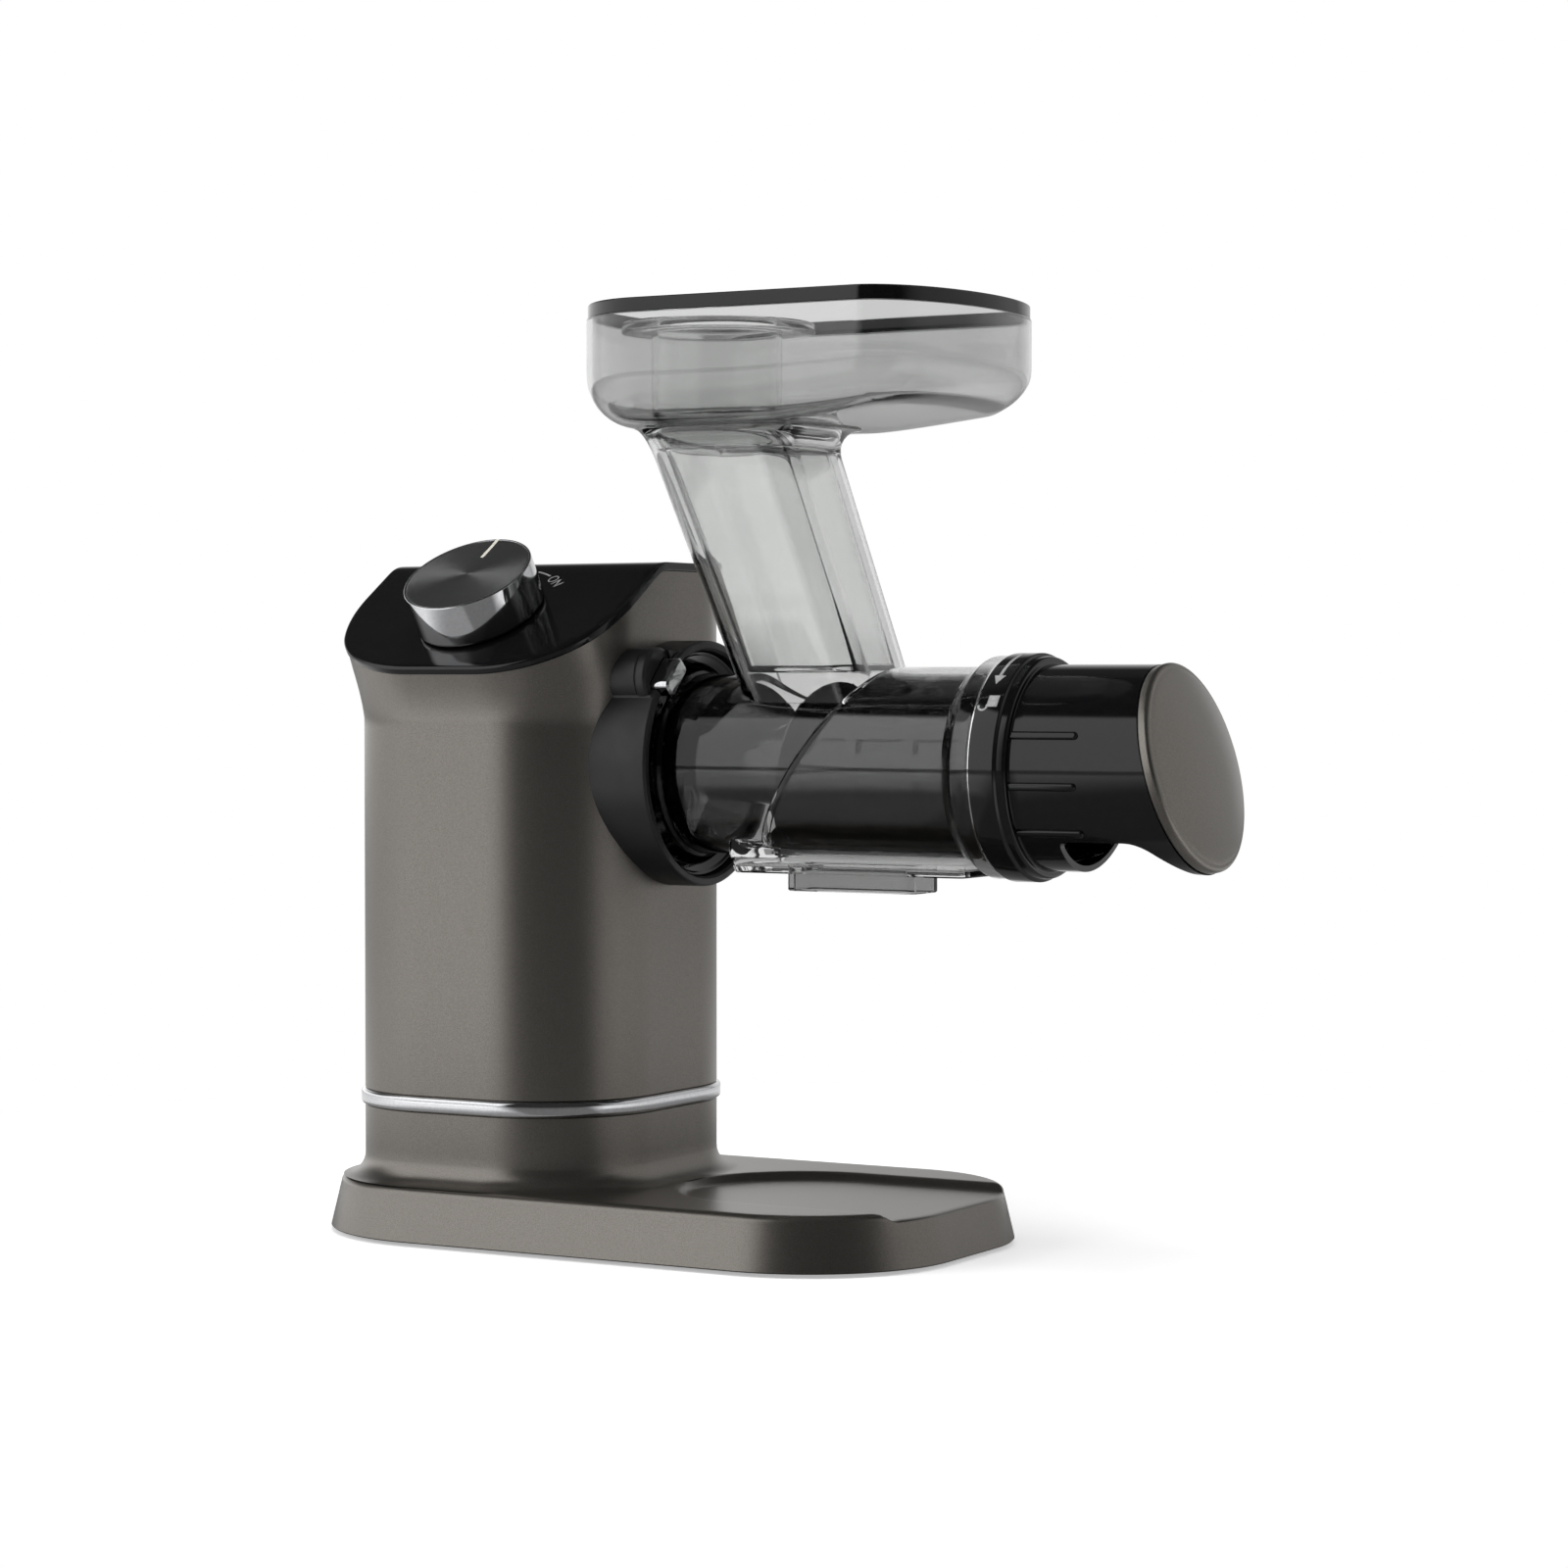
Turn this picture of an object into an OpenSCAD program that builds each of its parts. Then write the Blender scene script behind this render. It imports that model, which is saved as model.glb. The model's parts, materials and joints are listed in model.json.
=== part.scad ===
// Cold press juicer: a motor column on a long base, with a horizontal juicing barrel in front of it.
// Lengths are in millimetres. X runs along the barrel, away from the column.
// Y runs away from the user, who stands in front of the sloped control panel.

/* [Base] */
// Reach of the base plate in front of the column's axis
base_reach = 201.9; // [190:1:215]
// Reach of the base plate behind the column's axis
base_back = 81.4; // [78:1:90]
// Width of the base plate at the floor
base_w = 167.8; // [160:1:180]
// Corner radius of the plate behind the column
base_back_r = 69; // [50:1:75]
// Corner radius of the plate under the barrel
base_front_r = 62; // [40:1:72]
// Height of the top of the base plate
base_top = 23.2; // [21:0.5:27]
// Draft of the plate's sides, per side
base_draft = 5; // [3:0.5:6]
// Radius of the plate's upper edge
base_edge_r = 3; // [2:0.5:4]
// Fillet between the plate and the pedestal
pedestal_fillet = 9; // [5:1:10]
// Depth of the cup recess
recess_depth = 3; // [2:0.5:3.5]
// Half width of the cup recess at its floor
recess_r = 46; // [40:1:50]
// Distance from the column's axis to the middle of the recess's round end
recess_x = 125; // [120:1:130]

/* [Column] */
// Size of the column along the barrel
col_d = 130.4; // [126:1:136]
// Size of the column from front to back
col_w = 137.2; // [134:1:142]
// Corner radius of the column
col_r = 49; // [40:1:52]
// Wall of the casings
wall = 2.6; // [2.2:0.1:3]
// Height of the trim band above the floor
band_z = 52.6; // [48:0.5:56]
// Height of the trim band
band_h = 6.4; // [5:0.2:8]
// How far the trim band stands out
band_proud = 1.6; // [1:0.1:2.4]
// Height of the casing's front edge, under the panel
front_h = 230.2; // [226:0.2:234]
// Height of the casing's level top, under the panel
level_h = 272.1; // [266:0.5:278]
// Slope of the control panel
panel_slope = 33; // [28:1:38]
// Thickness of the glossy top panel
panel_t = 3.4; // [3:0.1:4]
// Radius of the bend between the slope and the level top
crest_r = 15; // [10:1:20]
// Radius of the bend at the back of the top
rear_r = 10; // [6:1:14]
// How far the casing flares towards the user, measured past the panel's edge
flare_out = 13; // [8:0.5:14]
// Height at which the flare starts
flare_z = 211; // [206:1:216]
// Height over which the casing flares
flare_h = 34; // [28:1:38]

/* [Knob] */
// Diameter of the knob
knob_d = 54; // [46:1:58]
// Height of the knob above the panel
knob_h = 19.4; // [16:0.5:23]
// Distance of the knob's axis in front of the column's axis, at the panel
knob_y = 44.5; // [40:0.5:47]
// Diameter of the knob's shaft
knob_shaft_d = 6; // [5:0.5:8]

/* [Drive] */
// Height of the barrel's axis
axis_z = 193.5; // [188:0.5:198]
// Pitch diameter of the first gear
first_gear_d = 36; // [33:0.5:37]
// Pitch diameter of the second gear
second_gear_d = 39.6; // [37:0.2:41]
// Pitch diameter of the output gear
output_gear_d = 60; // [56:0.5:62]
// Teeth on each pinion
pinion_teeth = 12; // [11:1:13]
// Teeth on the first and second gears
gear_teeth = 36; // [34:1:38]
// Teeth on the output gear
output_teeth = 40; // [38:1:42]
// Diameter of the motor
motor_d = 66; // [60:1:68]
// Length of the motor can
motor_l = 58; // [50:1:62]

/* [Collar] */
// Outer radius of the collar
collar_r = 50; // [48.5:0.5:52]
// Width of the collar's lip
collar_lip = 4; // [3.5:0.1:5]
// How far the collar stands out from the column
collar_l = 15.8; // [13:0.2:19]
// Sideways place of the release button, towards the user
button_y = 33; // [30:0.5:34]
// Height of the release button above the barrel's axis
button_up = 35.1; // [34:0.1:37]
// Radius of the boss round the release button
boss_r = 12; // [11.5:0.5:13]
// Travel of the release button
button_travel = 4; // [3:0.5:4.5]

/* [Barrel] */
// Outer radius of the barrel behind the step
barrel_r = 36.3; // [35.5:0.1:37.5]
// Outer radius of the barrel in front of the step
drum_r = 39.1; // [38.6:0.1:40]
// Wall of the clear pieces
clear_wall = 2.5; // [2:0.1:2.6]
// Length of the barrel from the collar's front face to the end of its clear flange
barrel_l = 139.3; // [136:0.5:143]
// Outer radius of the barrel's clear flange
flange_r = 43.5; // [43:0.1:44]
// Distance from the collar's front face to the slanted step, on the barrel's axis
step_place = 62; // [57:1:67]
// Lean of the slanted step
step_lean = 34.6; // [25:1:40]
// Length of the juice spout along the barrel
spout_l = 58; // [50:1:64]
// Width of the juice spout
spout_w = 22; // [18:1:26]
// Height of the spout's lower edge above the floor
spout_z = 143.3; // [141:0.5:146]

/* [Chute and tray] */
// Height of the tray's rim above the floor
tray_top = 377.1; // [372:0.5:382]
// Height of the black rim
rim_h = 5.6; // [4:0.2:7]
// Height of the tray's underside
tray_floor = 328.3; // [325:0.5:332]
// Length of the tray
tray_l = 175; // [168:1:182]
// Width of the tray
tray_w = 131; // [126:1:138]
// How far the tray reaches back from the collar's front face
tray_back = 43.3; // [43:0.1:47]
// Length of the tray's round end over the chute
tray_back_l = 48; // [42:1:55]
// Length of the tray's round end over the barrel
tray_front_l = 30; // [26:1:40]
// Radius between the tray's floor and sides
tray_edge_r = 21; // [16:1:24]
// Length of the chute's section at the top
chute_l = 66.6; // [62:0.5:69]
// Width of the chute's section at the top
chute_w = 59; // [56:0.5:61]
// Lean of the chute, sideways run per unit of height
chute_lean_share = 0.389; // [0.36:0.005:0.41]
// Size of the chute's foot as a share of its top
chute_foot_share = 0.88; // [0.84:0.01:0.95]
// Distance from the collar's front face to the middle of the chute at the tray
chute_place = 14.1; // [12:0.1:16]
// Radius of the pusher's top plate
pusher_r = 40; // [36:0.2:40.2]

/* [End cap] */
// Outer radius of the locking ring
ring_r = 44.5; // [44.1:0.1:46]
// Length of the locking ring
ring_l = 15.2; // [13:0.2:17]
// Outer radius of the cap
cap_r = 40; // [39:0.1:41]
// Distance from the barrel's flange to the end plate, on the barrel's axis
cap_l = 71.3; // [68:0.5:75]
// Lean of the end plate
dome_lean = 14; // [10:0.5:17]
// Radius of the end plate
dome_r = 41; // [40:0.2:42]
// Thickness of the end plate's rim
dome_rim = 5; // [4:0.5:6]
// Rise of the end plate's crown
dome_crown = 6; // [4:0.5:8]
// Height of the pulp outlet's upper edge below the barrel's axis
pulp_drop = 27.4; // [25:0.5:30]
// Distance from the barrel's flange to the pulp outlet's inner end
pulp_place = 31.7; // [30:0.5:36]

/* [Hidden] */
$fn = 96;

// Clearances shared by all pieces
gap = 0.3;
run_gap = 0.05;
snug = 0.1;
cut = 1;
skin = 0.01;

// Colours
paint = [0.45, 0.43, 0.40];
gloss_black = [0.03, 0.03, 0.035];
matte_black = [0.07, 0.07, 0.075];
chrome = [0.85, 0.86, 0.88];
steel = [0.62, 0.64, 0.66];
smoke = [0.62, 0.65, 0.66, 0.45];
rubber = [0.09, 0.09, 0.09];
brass = [0.78, 0.62, 0.30];
nylon = [0.90, 0.89, 0.84];
board_green = [0.08, 0.30, 0.16];
spun_aluminium = [0.42, 0.43, 0.45];

// Shares that shape rounded edges and fillets: [inward or outward share, height share]
round_shares = [[0, 0], [0.076, 0.383], [0.293, 0.707], [0.617, 0.924], [1, 1]];
fillet_shares = [[1, 0], [0.617, 0.076], [0.293, 0.293], [0.076, 0.617], [0, 1]];
// Flare of the casing: [share of its height, share of its reach]
flare_shares = [[0, 0], [0.32, 0.25], [0.78, 0.81], [1, 1]];
// Part of the flare that is reached at the panel's front edge
flare_front_share = 0.515;
flare_steps = 8;

// Column
col_hx = col_d / 2;
col_hy = col_w / 2;
col_cx = col_hx - col_r;
col_cy = col_hy - col_r;
body_z = band_z + band_h;
top_reach = level_h + 3 * panel_t;
front_y = col_hy + flare_out * flare_front_share;
crest_z = level_h - crest_r;
crest_y = (cos(panel_slope) * (crest_z - front_h) + crest_r - sin(panel_slope) * front_y) / sin(panel_slope);
panel_lip = 0.8;
top_wall = 2.4;

// Base
foot_h = 1.2;
foot_r = 9;
rear_foot_shares = [0.62, 0.24];
front_foot_shares = [0.8, 0.24];
foot_places = [[-base_back * rear_foot_shares[0], base_w * rear_foot_shares[1]],
               [base_reach * front_foot_shares[0], base_w * front_foot_shares[1]]];
rear_screw_share = 0.69;
front_screw_shares = [0.62, 0.37];
// Distance of the rear screws from the plate's edge
base_screw_edge = 7.06;
rear_screw_r = base_back_r - base_screw_edge;
rear_screw_run = base_back_r - base_back * (1 - rear_screw_share);
rear_screw_y = base_w / 2 - base_back_r + sqrt(pow(rear_screw_r, 2) - pow(rear_screw_run, 2));
base_screw_places = [[-base_back * rear_screw_share, rear_screw_y],
                     [base_reach * front_screw_shares[0], base_w * front_screw_shares[1]]];
shell_z = 1.6;
cover_inset = 3.5;
cover_top = 3.6;
base_wall = 8;
hollow_top = base_top - recess_depth - wall;
recess_slope = 6;
base_screw_r = 1.5;
base_head_r = 3.2;
base_head_h = 1.4;
base_boss_r = 4.5;
base_screw_l = 11;
spigot_r = 3;
spigot_h = 2;
cord_r = 6.8;
cord_flange_r = 9;
cord_flange_t = 2;
cord_hole_r = 4;
cord_z = base_top + pedestal_fillet + cord_flange_r + gap;

// Chassis and gearbox, from the back of the motor towards the barrel
chassis_t = 3;
ledge = 3;
chassis_z = body_z;
wire_hole_r = 9;
plate_t = 3;
face_gap = 0.5;
gear_one_w = 5.5;
gear_two_w = 6.5;
gear_three_w = 9.5;
cover_in = 12.2;
cover_x = col_hx - cover_in;
plate_x = cover_x - 4 * face_gap - gear_one_w - gear_two_w - gear_three_w - plate_t;
lane_one = plate_x + plate_t + face_gap;
lane_two = lane_one + gear_one_w + face_gap;
lane_three = lane_two + gear_two_w + face_gap;
// Room left between the gearbox plates and the column's corners
frame_gap = 3.45;
frame_half_w = col_cy - frame_gap + sqrt(pow(col_r - wall, 2) - pow(cover_x + plate_t - col_cx, 2));
frame_up = 44;
frame_top = axis_z + frame_up;
first_module = first_gear_d / gear_teeth;
second_module = second_gear_d / gear_teeth;
third_module = output_gear_d / output_teeth;
pitch_one = first_module * (pinion_teeth + gear_teeth) / 2;
pitch_two = second_module * (pinion_teeth + gear_teeth) / 2;
pitch_three = third_module * (pinion_teeth + output_teeth) / 2;
shaft_two_z = axis_z - pitch_three;
shaft_one_z = shaft_two_z - pitch_two;
motor_z = shaft_one_z - pitch_one;
pressure = 25;
addendum_share = 0.85;
dedendum_share = 1.1;
backlash = 0.18;
pin_r = 3;
pin_reach = 2.4;
post_r = 4;
post_edge = 6;
post_clear = 5.5;
post_y = frame_half_w - post_edge;
post_low_z = shaft_one_z + post_edge;
post_ring_r = output_gear_d / 2 + addendum_share * third_module + post_clear;
post_mid_z = axis_z + sqrt(pow(post_ring_r, 2) - pow(post_y, 2));
post_high_z = frame_top - post_edge;
post_screw_r = 1.5;
post_head_r = 2.8;
post_head_h = 1.8;

// Motor
motor_r = motor_d / 2;
can_wall = 2;
can_x = plate_x - motor_l;
end_cap_t = 7;
rotor_shaft_r = 4;
stator_r = motor_r - can_wall - snug;
stator_bore = 19;
stator_l = 30;
air_gap = 0.6;
rotor_r = stator_bore - air_gap;
stator_place = 22;
stator_x = can_x + stator_place;
fan_r = 25;
fan_w = 7;
fan_place = 6;
fan_x = can_x + fan_place;
fan_blades = 12;
fan_blade_t = 1.4;
fan_disc_t = 1.6;
cradle_l = 12;
vents = 8;
vent_r = 4;
vent_share = 0.6;
vent_place = motor_r * vent_share;
end_cap_in = 2;
cradle_half_w = 24;

// Output and socket
output_shaft_r = 6;
bush_r = 9;
coupling_r = 11;
coupling_gap = 1;
coupling_x = cover_x + plate_t + coupling_gap;
coupling_l = 17;
hex_af = 15.6;
hex_depth = 13;
liner_r = collar_r - collar_lip - gap;
liner_bore = 40.6;
liner_x = cover_x + plate_t + gap;
liner_back = 3;
collar_x = col_hx + collar_l;
liner_in = 3;
liner_front = collar_x - liner_in;
collar_seat = 12;
collar_root = col_hx - collar_seat;
lug_groove_r = 43.8;
lug_place = 9.7;
lug_x = liner_x + lug_place;
lug_l = 5;
lug_room = 0.6;
seal_r = 14;
button_z = axis_z + button_up;
boss_proud = 1;
boss_x = collar_x + boss_proud;
pocket_l = 7.5;
boss_blend = 10;
pin_hole_r = 2.6;
latch_r = 1.9;
button_w = 11;
button_hgt = 14;
button_r = 4;
button_proud = 8;
button_in = 3;
button_bore_l = 5;
button_gap = 0.4;
spring_r = 3.2;
spring_wire = 0.8;
spring_curls = 3.5;
spring_l = 5.2;
switch_box = [8, 10, 10];

// Barrel and what is inside it
barrel_end = collar_x + barrel_l;
step_x = collar_x + step_place;
bore_r = barrel_r - clear_wall;
drum_bore = drum_r - clear_wall;
spigot_in = 19;
spigot_x = collar_x - spigot_in;
spigot_out = 38;
back_wall_in = 5;
back_wall_x = collar_x - back_wall_in;
back_wall_t = 3;
hub_r = 12;
hub_x = coupling_x + coupling_l + face_gap;
chamber_seal_r = 16;
chamber_seal_t = 2;
auger_play = 0.7;
auger_r = bore_r - auger_play;
auger_end_play = 0.6;
auger_x = back_wall_x + back_wall_t + auger_end_play;
auger_past = 1.7;
auger_end = barrel_end + auger_past;
core_back_r = 15;
core_front_r = 22;
nose_r = 5;
nose_l = 25;
nose_cone_r = 14;
nose_cone_l = 10;
flight_t = 4.2;
flight_turns = 3.4;
flight_steps = 48;
insert_in = 5;
insert_x = coupling_x + insert_in;
insert_l = 32;
flange_l = 13.3;
flange_x = barrel_end - flange_l;
flange_cone = 6;
neck_r = 41.2;
neck_l = 11.7;
neck_lug_r = 42.9;
neck_lug_place = 5.5;
neck_lug_x = barrel_end + neck_lug_place;
neck_lug_l = 4;
lug_deg = 24;
lug_play_deg = 3;
chamber_turn = 28;
cap_turn = 30;
lugs = 3;
sump_place = 20;
sump_x = collar_x + sump_place;
sump_w = 44;
spout_h = 7.4;
sump_z = spout_z + spout_h;
sump_depth = 20;
spout_place = 22;
spout_x = sump_x + spout_place;
spigot_wall = 3.5;
strainer_r = drum_bore - gap;
strainer_bore = bore_r + snug;
mesh_t = 0.35;
mesh_r = strainer_bore - snug;
strainer_place = 5;
strainer_x = sump_x + strainer_place;
strainer_past = 6.7;
strainer_end = barrel_end + strainer_past;
strainer_face_t = 3.5;
pulp_r = 18;
pulp_tube_t = 2.5;
pulp_tube_l = 11;
slot_rows = 4;
slot_count = 14;
slot_l = 20;
slot_w = 6;
slot_gap = 5;
neck_end = barrel_end + neck_l;

// Chute, tray and pusher
tray_wall = 2.3;
tray_rim_z = tray_top - rim_h;
rim_inset = 0.6;
rim_w = 1.7;
tray_x = collar_x - tray_back;
chute_x = collar_x + chute_place;
chute_r = 14.5;
chute_foot_up = 14;
chute_low = axis_z + chute_foot_up;
chute_h = tray_floor - chute_low;
skirt_l = 8;
skirt_t = 2;
stem_play = 0.7;
stem_inset = clear_wall + gap + skirt_t + stem_play;
stem_clear = 3;
stem_foot = axis_z + bore_r + stem_clear;
stem_wall = 2.2;
pusher_cap_t = 4.4;
pusher_drop = 5.5;
pusher_top = tray_top - pusher_drop;
// The plate clears the rim as the pusher leans out, and the neck stands on the flat of the floor
pusher_rim_gap = 5.4;
pusher_x = tray_x + rim_inset + rim_w + pusher_rim_gap + pusher_r;
pusher_neck_r = pusher_x - tray_x - tray_edge_r - 2 * snug;

// End cap
ring_x = barrel_end + face_gap;
ring_play = 0.4;
ring_bore = neck_r + ring_play;
ring_groove_r = 43.2;
cap_wall = 2.4;
cap_bore = cap_r - cap_wall;
ring_end = ring_x + ring_l;
shoulder_t = 2.6;
// Angles of the ribs from the top, on both sides
rib_degs = [71, 99, 127];
rib_in = 3;
rib_x = ring_end - rib_in;
rib_l = 31;
rib_w = 2.5;
rib_proud = 0.8;
spider_place = 5;
spider_x = ring_end + spider_place;
spider_t = 4;
spider_hub_r = 10;
spider_arm_w = 4;
spider_arms = 3;
nose_bush_r = 7.5;
dome_boss_r = 4;
dome_boss_l = 9;
dome_boss_place = 27;
dome_screw_r = 1.5;
dome_screw_head_r = 2.8;
dome_screw_head_t = 1.6;
dome_edge = 1.5;
dome_x = barrel_end + cap_l;
pulp_x = barrel_end + pulp_place;
crown_r = dome_r - dome_edge;
crown_sphere_r = (crown_r * crown_r + dome_crown * dome_crown) / (2 * dome_crown);
apex_x = dome_x + (dome_rim + dome_crown) * cos(dome_lean);
end_reach = apex_x + crown_sphere_r * (1 - cos(dome_lean));

// The part's origin lies under the middle of its length
mid_x = (end_reach - base_back) / 2;

// Knob
knob_r = knob_d / 2;
knob_gap = 0.8;
knob_face_t = 1;
knob_face_inset = 0.9;
knob_wall = 2.2;
knob_hub_r = 7;
knob_shaft_r = knob_shaft_d / 2;
pointer_w = 1.6;
pointer_l = 14.5;
pointer_t = 0.7;
switch_w = 28;
switch_h = 15;
switch_neck_r = 6;
shaft_in_switch = 10;

// Control board on the back wall, above the motor
board_w = 28;
board_h = 64;
board_t = 1.6;
board_stand = 4;
board_boss_r = 3;
board_screw_r = 1.2;
board_head_r = 2.3;
board_head_h = 1.4;
board_up = 46;
board_z = motor_z + motor_r + board_up;
chip_size = [16, 5, 12];

// Spring round the latch pin: a point on the wire's middle and one on its skin
spring_x0 = boss_x - pocket_l + spring_wire / 2;
spring_run = spring_l - spring_wire;
spring_sides = 6;
spring_rings = 10;
function spring_mid(t) = [spring_x0 + spring_run * t, spring_r * cos(360 * spring_curls * t) - button_y,
                          spring_r * sin(360 * spring_curls * t) + button_z];
function spring_skin(t, a) =
    let (q = 360 * spring_curls * t, out = [0, cos(q), sin(q)],
         up = [2 * PI * spring_r * spring_curls, spring_run * sin(q), -spring_run * cos(q)])
    spring_mid(t) + spring_wire / 2 * (cos(a) * out + sin(a) * up / norm(up));

// Least gap between two turns of the spring, measured from point to point along the wire's middle
spring_points = [for (i = [0:spring_curls * spring_rings]) spring_mid(i / spring_curls / spring_rings)];
spring_last = len(spring_points) - 1;
spring_gap = min([for (i = [0:spring_last]) for (k = [i + spring_rings / 2:spring_last])
    norm(spring_points[k] - spring_points[i])]) - spring_wire;
echo(spring_gap = spring_gap);

// Points along an arc
function arc(c, r, a0, a1, n) =
    [for (i = [0:n]) let (a = a0 + (a1 - a0) * i / n) [c[0] + r * cos(a), c[1] + r * sin(a)]];

// Height of the sloped surface at a distance y, lifted square to the slope
function slope_z(y, lift) =
    front_h + (y + front_y) * tan(panel_slope) + lift / cos(panel_slope);

// Side outline of the casing's top, lifted square to its surface
function top_outline(lift) = concat(
    [[-col_hy - 2 * flare_out, 0], [-col_hy - 2 * flare_out, slope_z(-col_hy - 2 * flare_out, lift)]],
    arc([crest_y, crest_z], crest_r + lift, 90 + panel_slope, 90, 8),
    arc([col_hy - rear_r, level_h - rear_r], rear_r + lift, 90, 0, 8),
    [[col_hy + lift, 0]]);

// Half thickness of a gear tooth, in degrees, at radius r
function inv(a) = tan(a) - a * PI / 180;
function tooth_half(m, z, r) =
    let (rp = m * z / 2, rb = rp * cos(pressure), a = acos(min(1, rb / r)))
    90 / z - backlash / 2 / rp * 180 / PI + (inv(pressure) - inv(a)) * 180 / PI;

// Outline of a gear whose first tooth points along the angle "aim"
function gear_outline(m, z, aim) =
    let (rp = m * z / 2, rb = rp * cos(pressure), ra = rp + addendum_share * m, rr = rp - dedendum_share * m,
         rs = max(rb, rr), steps = 3)
    [for (k = [0:z - 1]) for (s = [-1, 1]) for (i = [0:steps + 1])
        let (j = s < 0 ? i : steps + 1 - i, r = j == 0 ? rr : rs + (ra - rs) * (j - 1) / steps,
             h = tooth_half(m, z, max(r, rs)), a = aim + k * 360 / z + s * h)
        [r * cos(a), r * sin(a)]];

// Everything is drawn from the column's axis and moved so that the origin is under the middle
module placed() {
    translate([-mid_x, 0, 0]) children();
}

// Draws a flat outline, given in Y and Z, as a slab along X
module along_x(x, l) {
    translate([x, 0, 0]) rotate([90, 0, 90]) linear_extrude(l) children();
}

// A cylinder along X
module rod(x, l, r, y = 0, z = axis_z) {
    translate([x, y, z]) rotate([0, 90, 0]) cylinder(h = l, r = r);
}

// A tube along X, open at both ends
module pipe(x, l, r_out, r_in, y = 0, z = axis_z) {
    difference() {
        rod(x, l, r_out, y, z);
        rod(x - cut, l + 2 * cut, r_in, y, z);
    }
}

// A cone along X
module cone(x, l, r1, r2) {
    translate([x, 0, axis_z]) rotate([0, 90, 0]) cylinder(h = l, r1 = r1, r2 = r2);
}

// Rounded rectangle with its own radius behind and in front
module rounded_plan(x0, x1, hy, rb, rf) {
    polygon([[x0 + rb, -hy], [x1 - rf, -hy], [x1, rf - hy], [x1, hy - rf],
             [x1 - rf, hy], [x0 + rb, hy], [x0, hy - rb], [x0, rb - hy]]);
    for (s = [-1, 1]) {
        translate([x0 + rb, s * (hy - rb)]) circle(r = rb);
        translate([x1 - rf, s * (hy - rf)]) circle(r = rf);
    }
}

module base_plan(inset) {
    rounded_plan(inset - base_back, base_reach - inset, base_w / 2 - inset,
                 base_back_r - inset, base_front_r - inset);
}

// The column's outline, grown all round, with its front part moved towards the user by the flare
module column_plan(grow, flare = 0) {
    r = col_r + grow;
    front = -col_cy - flare;
    polygon([[-col_cx, front - r], [col_cx, front - r], [col_cx + r, front], [col_cx + r, col_cy],
             [col_cx, col_cy + r], [-col_cx, col_cy + r], [-col_cx - r, col_cy], [-col_cx - r, front]]);
    for (x = [-col_cx, col_cx]) for (y = [front, col_cy])
        translate([x, y]) circle(r = r);
}

// The column's outer form, with its flare
module column_form(grow, low) {
    translate([0, 0, low]) linear_extrude(flare_z - low) column_plan(grow);
    for (i = [0:len(flare_shares) - 2]) {
        a = flare_shares[i];
        b = flare_shares[i + 1];
        hull() {
            translate([0, 0, flare_z + a[0] * flare_h])
                linear_extrude(skin, $fn = 64) column_plan(grow, a[1] * flare_out);
            translate([0, 0, flare_z + b[0] * flare_h - skin])
                linear_extrude(skin, $fn = 64) column_plan(grow, b[1] * flare_out);
        }
    }
    translate([0, 0, flare_z + flare_h]) linear_extrude(top_reach - flare_z - flare_h, $fn = 64)
        column_plan(grow, flare_out);
}

// The column's form in level steps, for a piece that has to clear the flare
module column_steps(grow) {
    h = flare_h / flare_steps;
    translate([0, 0, body_z]) linear_extrude(flare_z - body_z + h) column_plan(grow);
    for (i = [1:flare_steps])
        translate([0, 0, flare_z + (i - 1) * h]) linear_extrude((flare_steps - i + 1) * h)
            column_plan(grow, flare_out * lookup(i / flare_steps, flare_shares));
}

// Everything below the casing's top surface
module under_top(lift) {
    along_x(-col_d, 2 * col_d) polygon(top_outline(lift));
}

// Moves things onto the sloped panel, with Z square to it
module on_slope(lift = 0) {
    translate([0, -knob_y, slope_z(-knob_y, panel_t)]) rotate([panel_slope, 0, 0])
        translate([0, 0, lift]) children();
}

// Foot places under the base
module at_feet() {
    for (p = foot_places) for (s = [-1, 1]) translate([p[0], s * p[1], 0]) children();
}

// Screw places under the base
module at_base_screws() {
    for (p = base_screw_places) for (s = [-1, 1]) translate([p[0], s * p[1], 0]) children();
}

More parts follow.
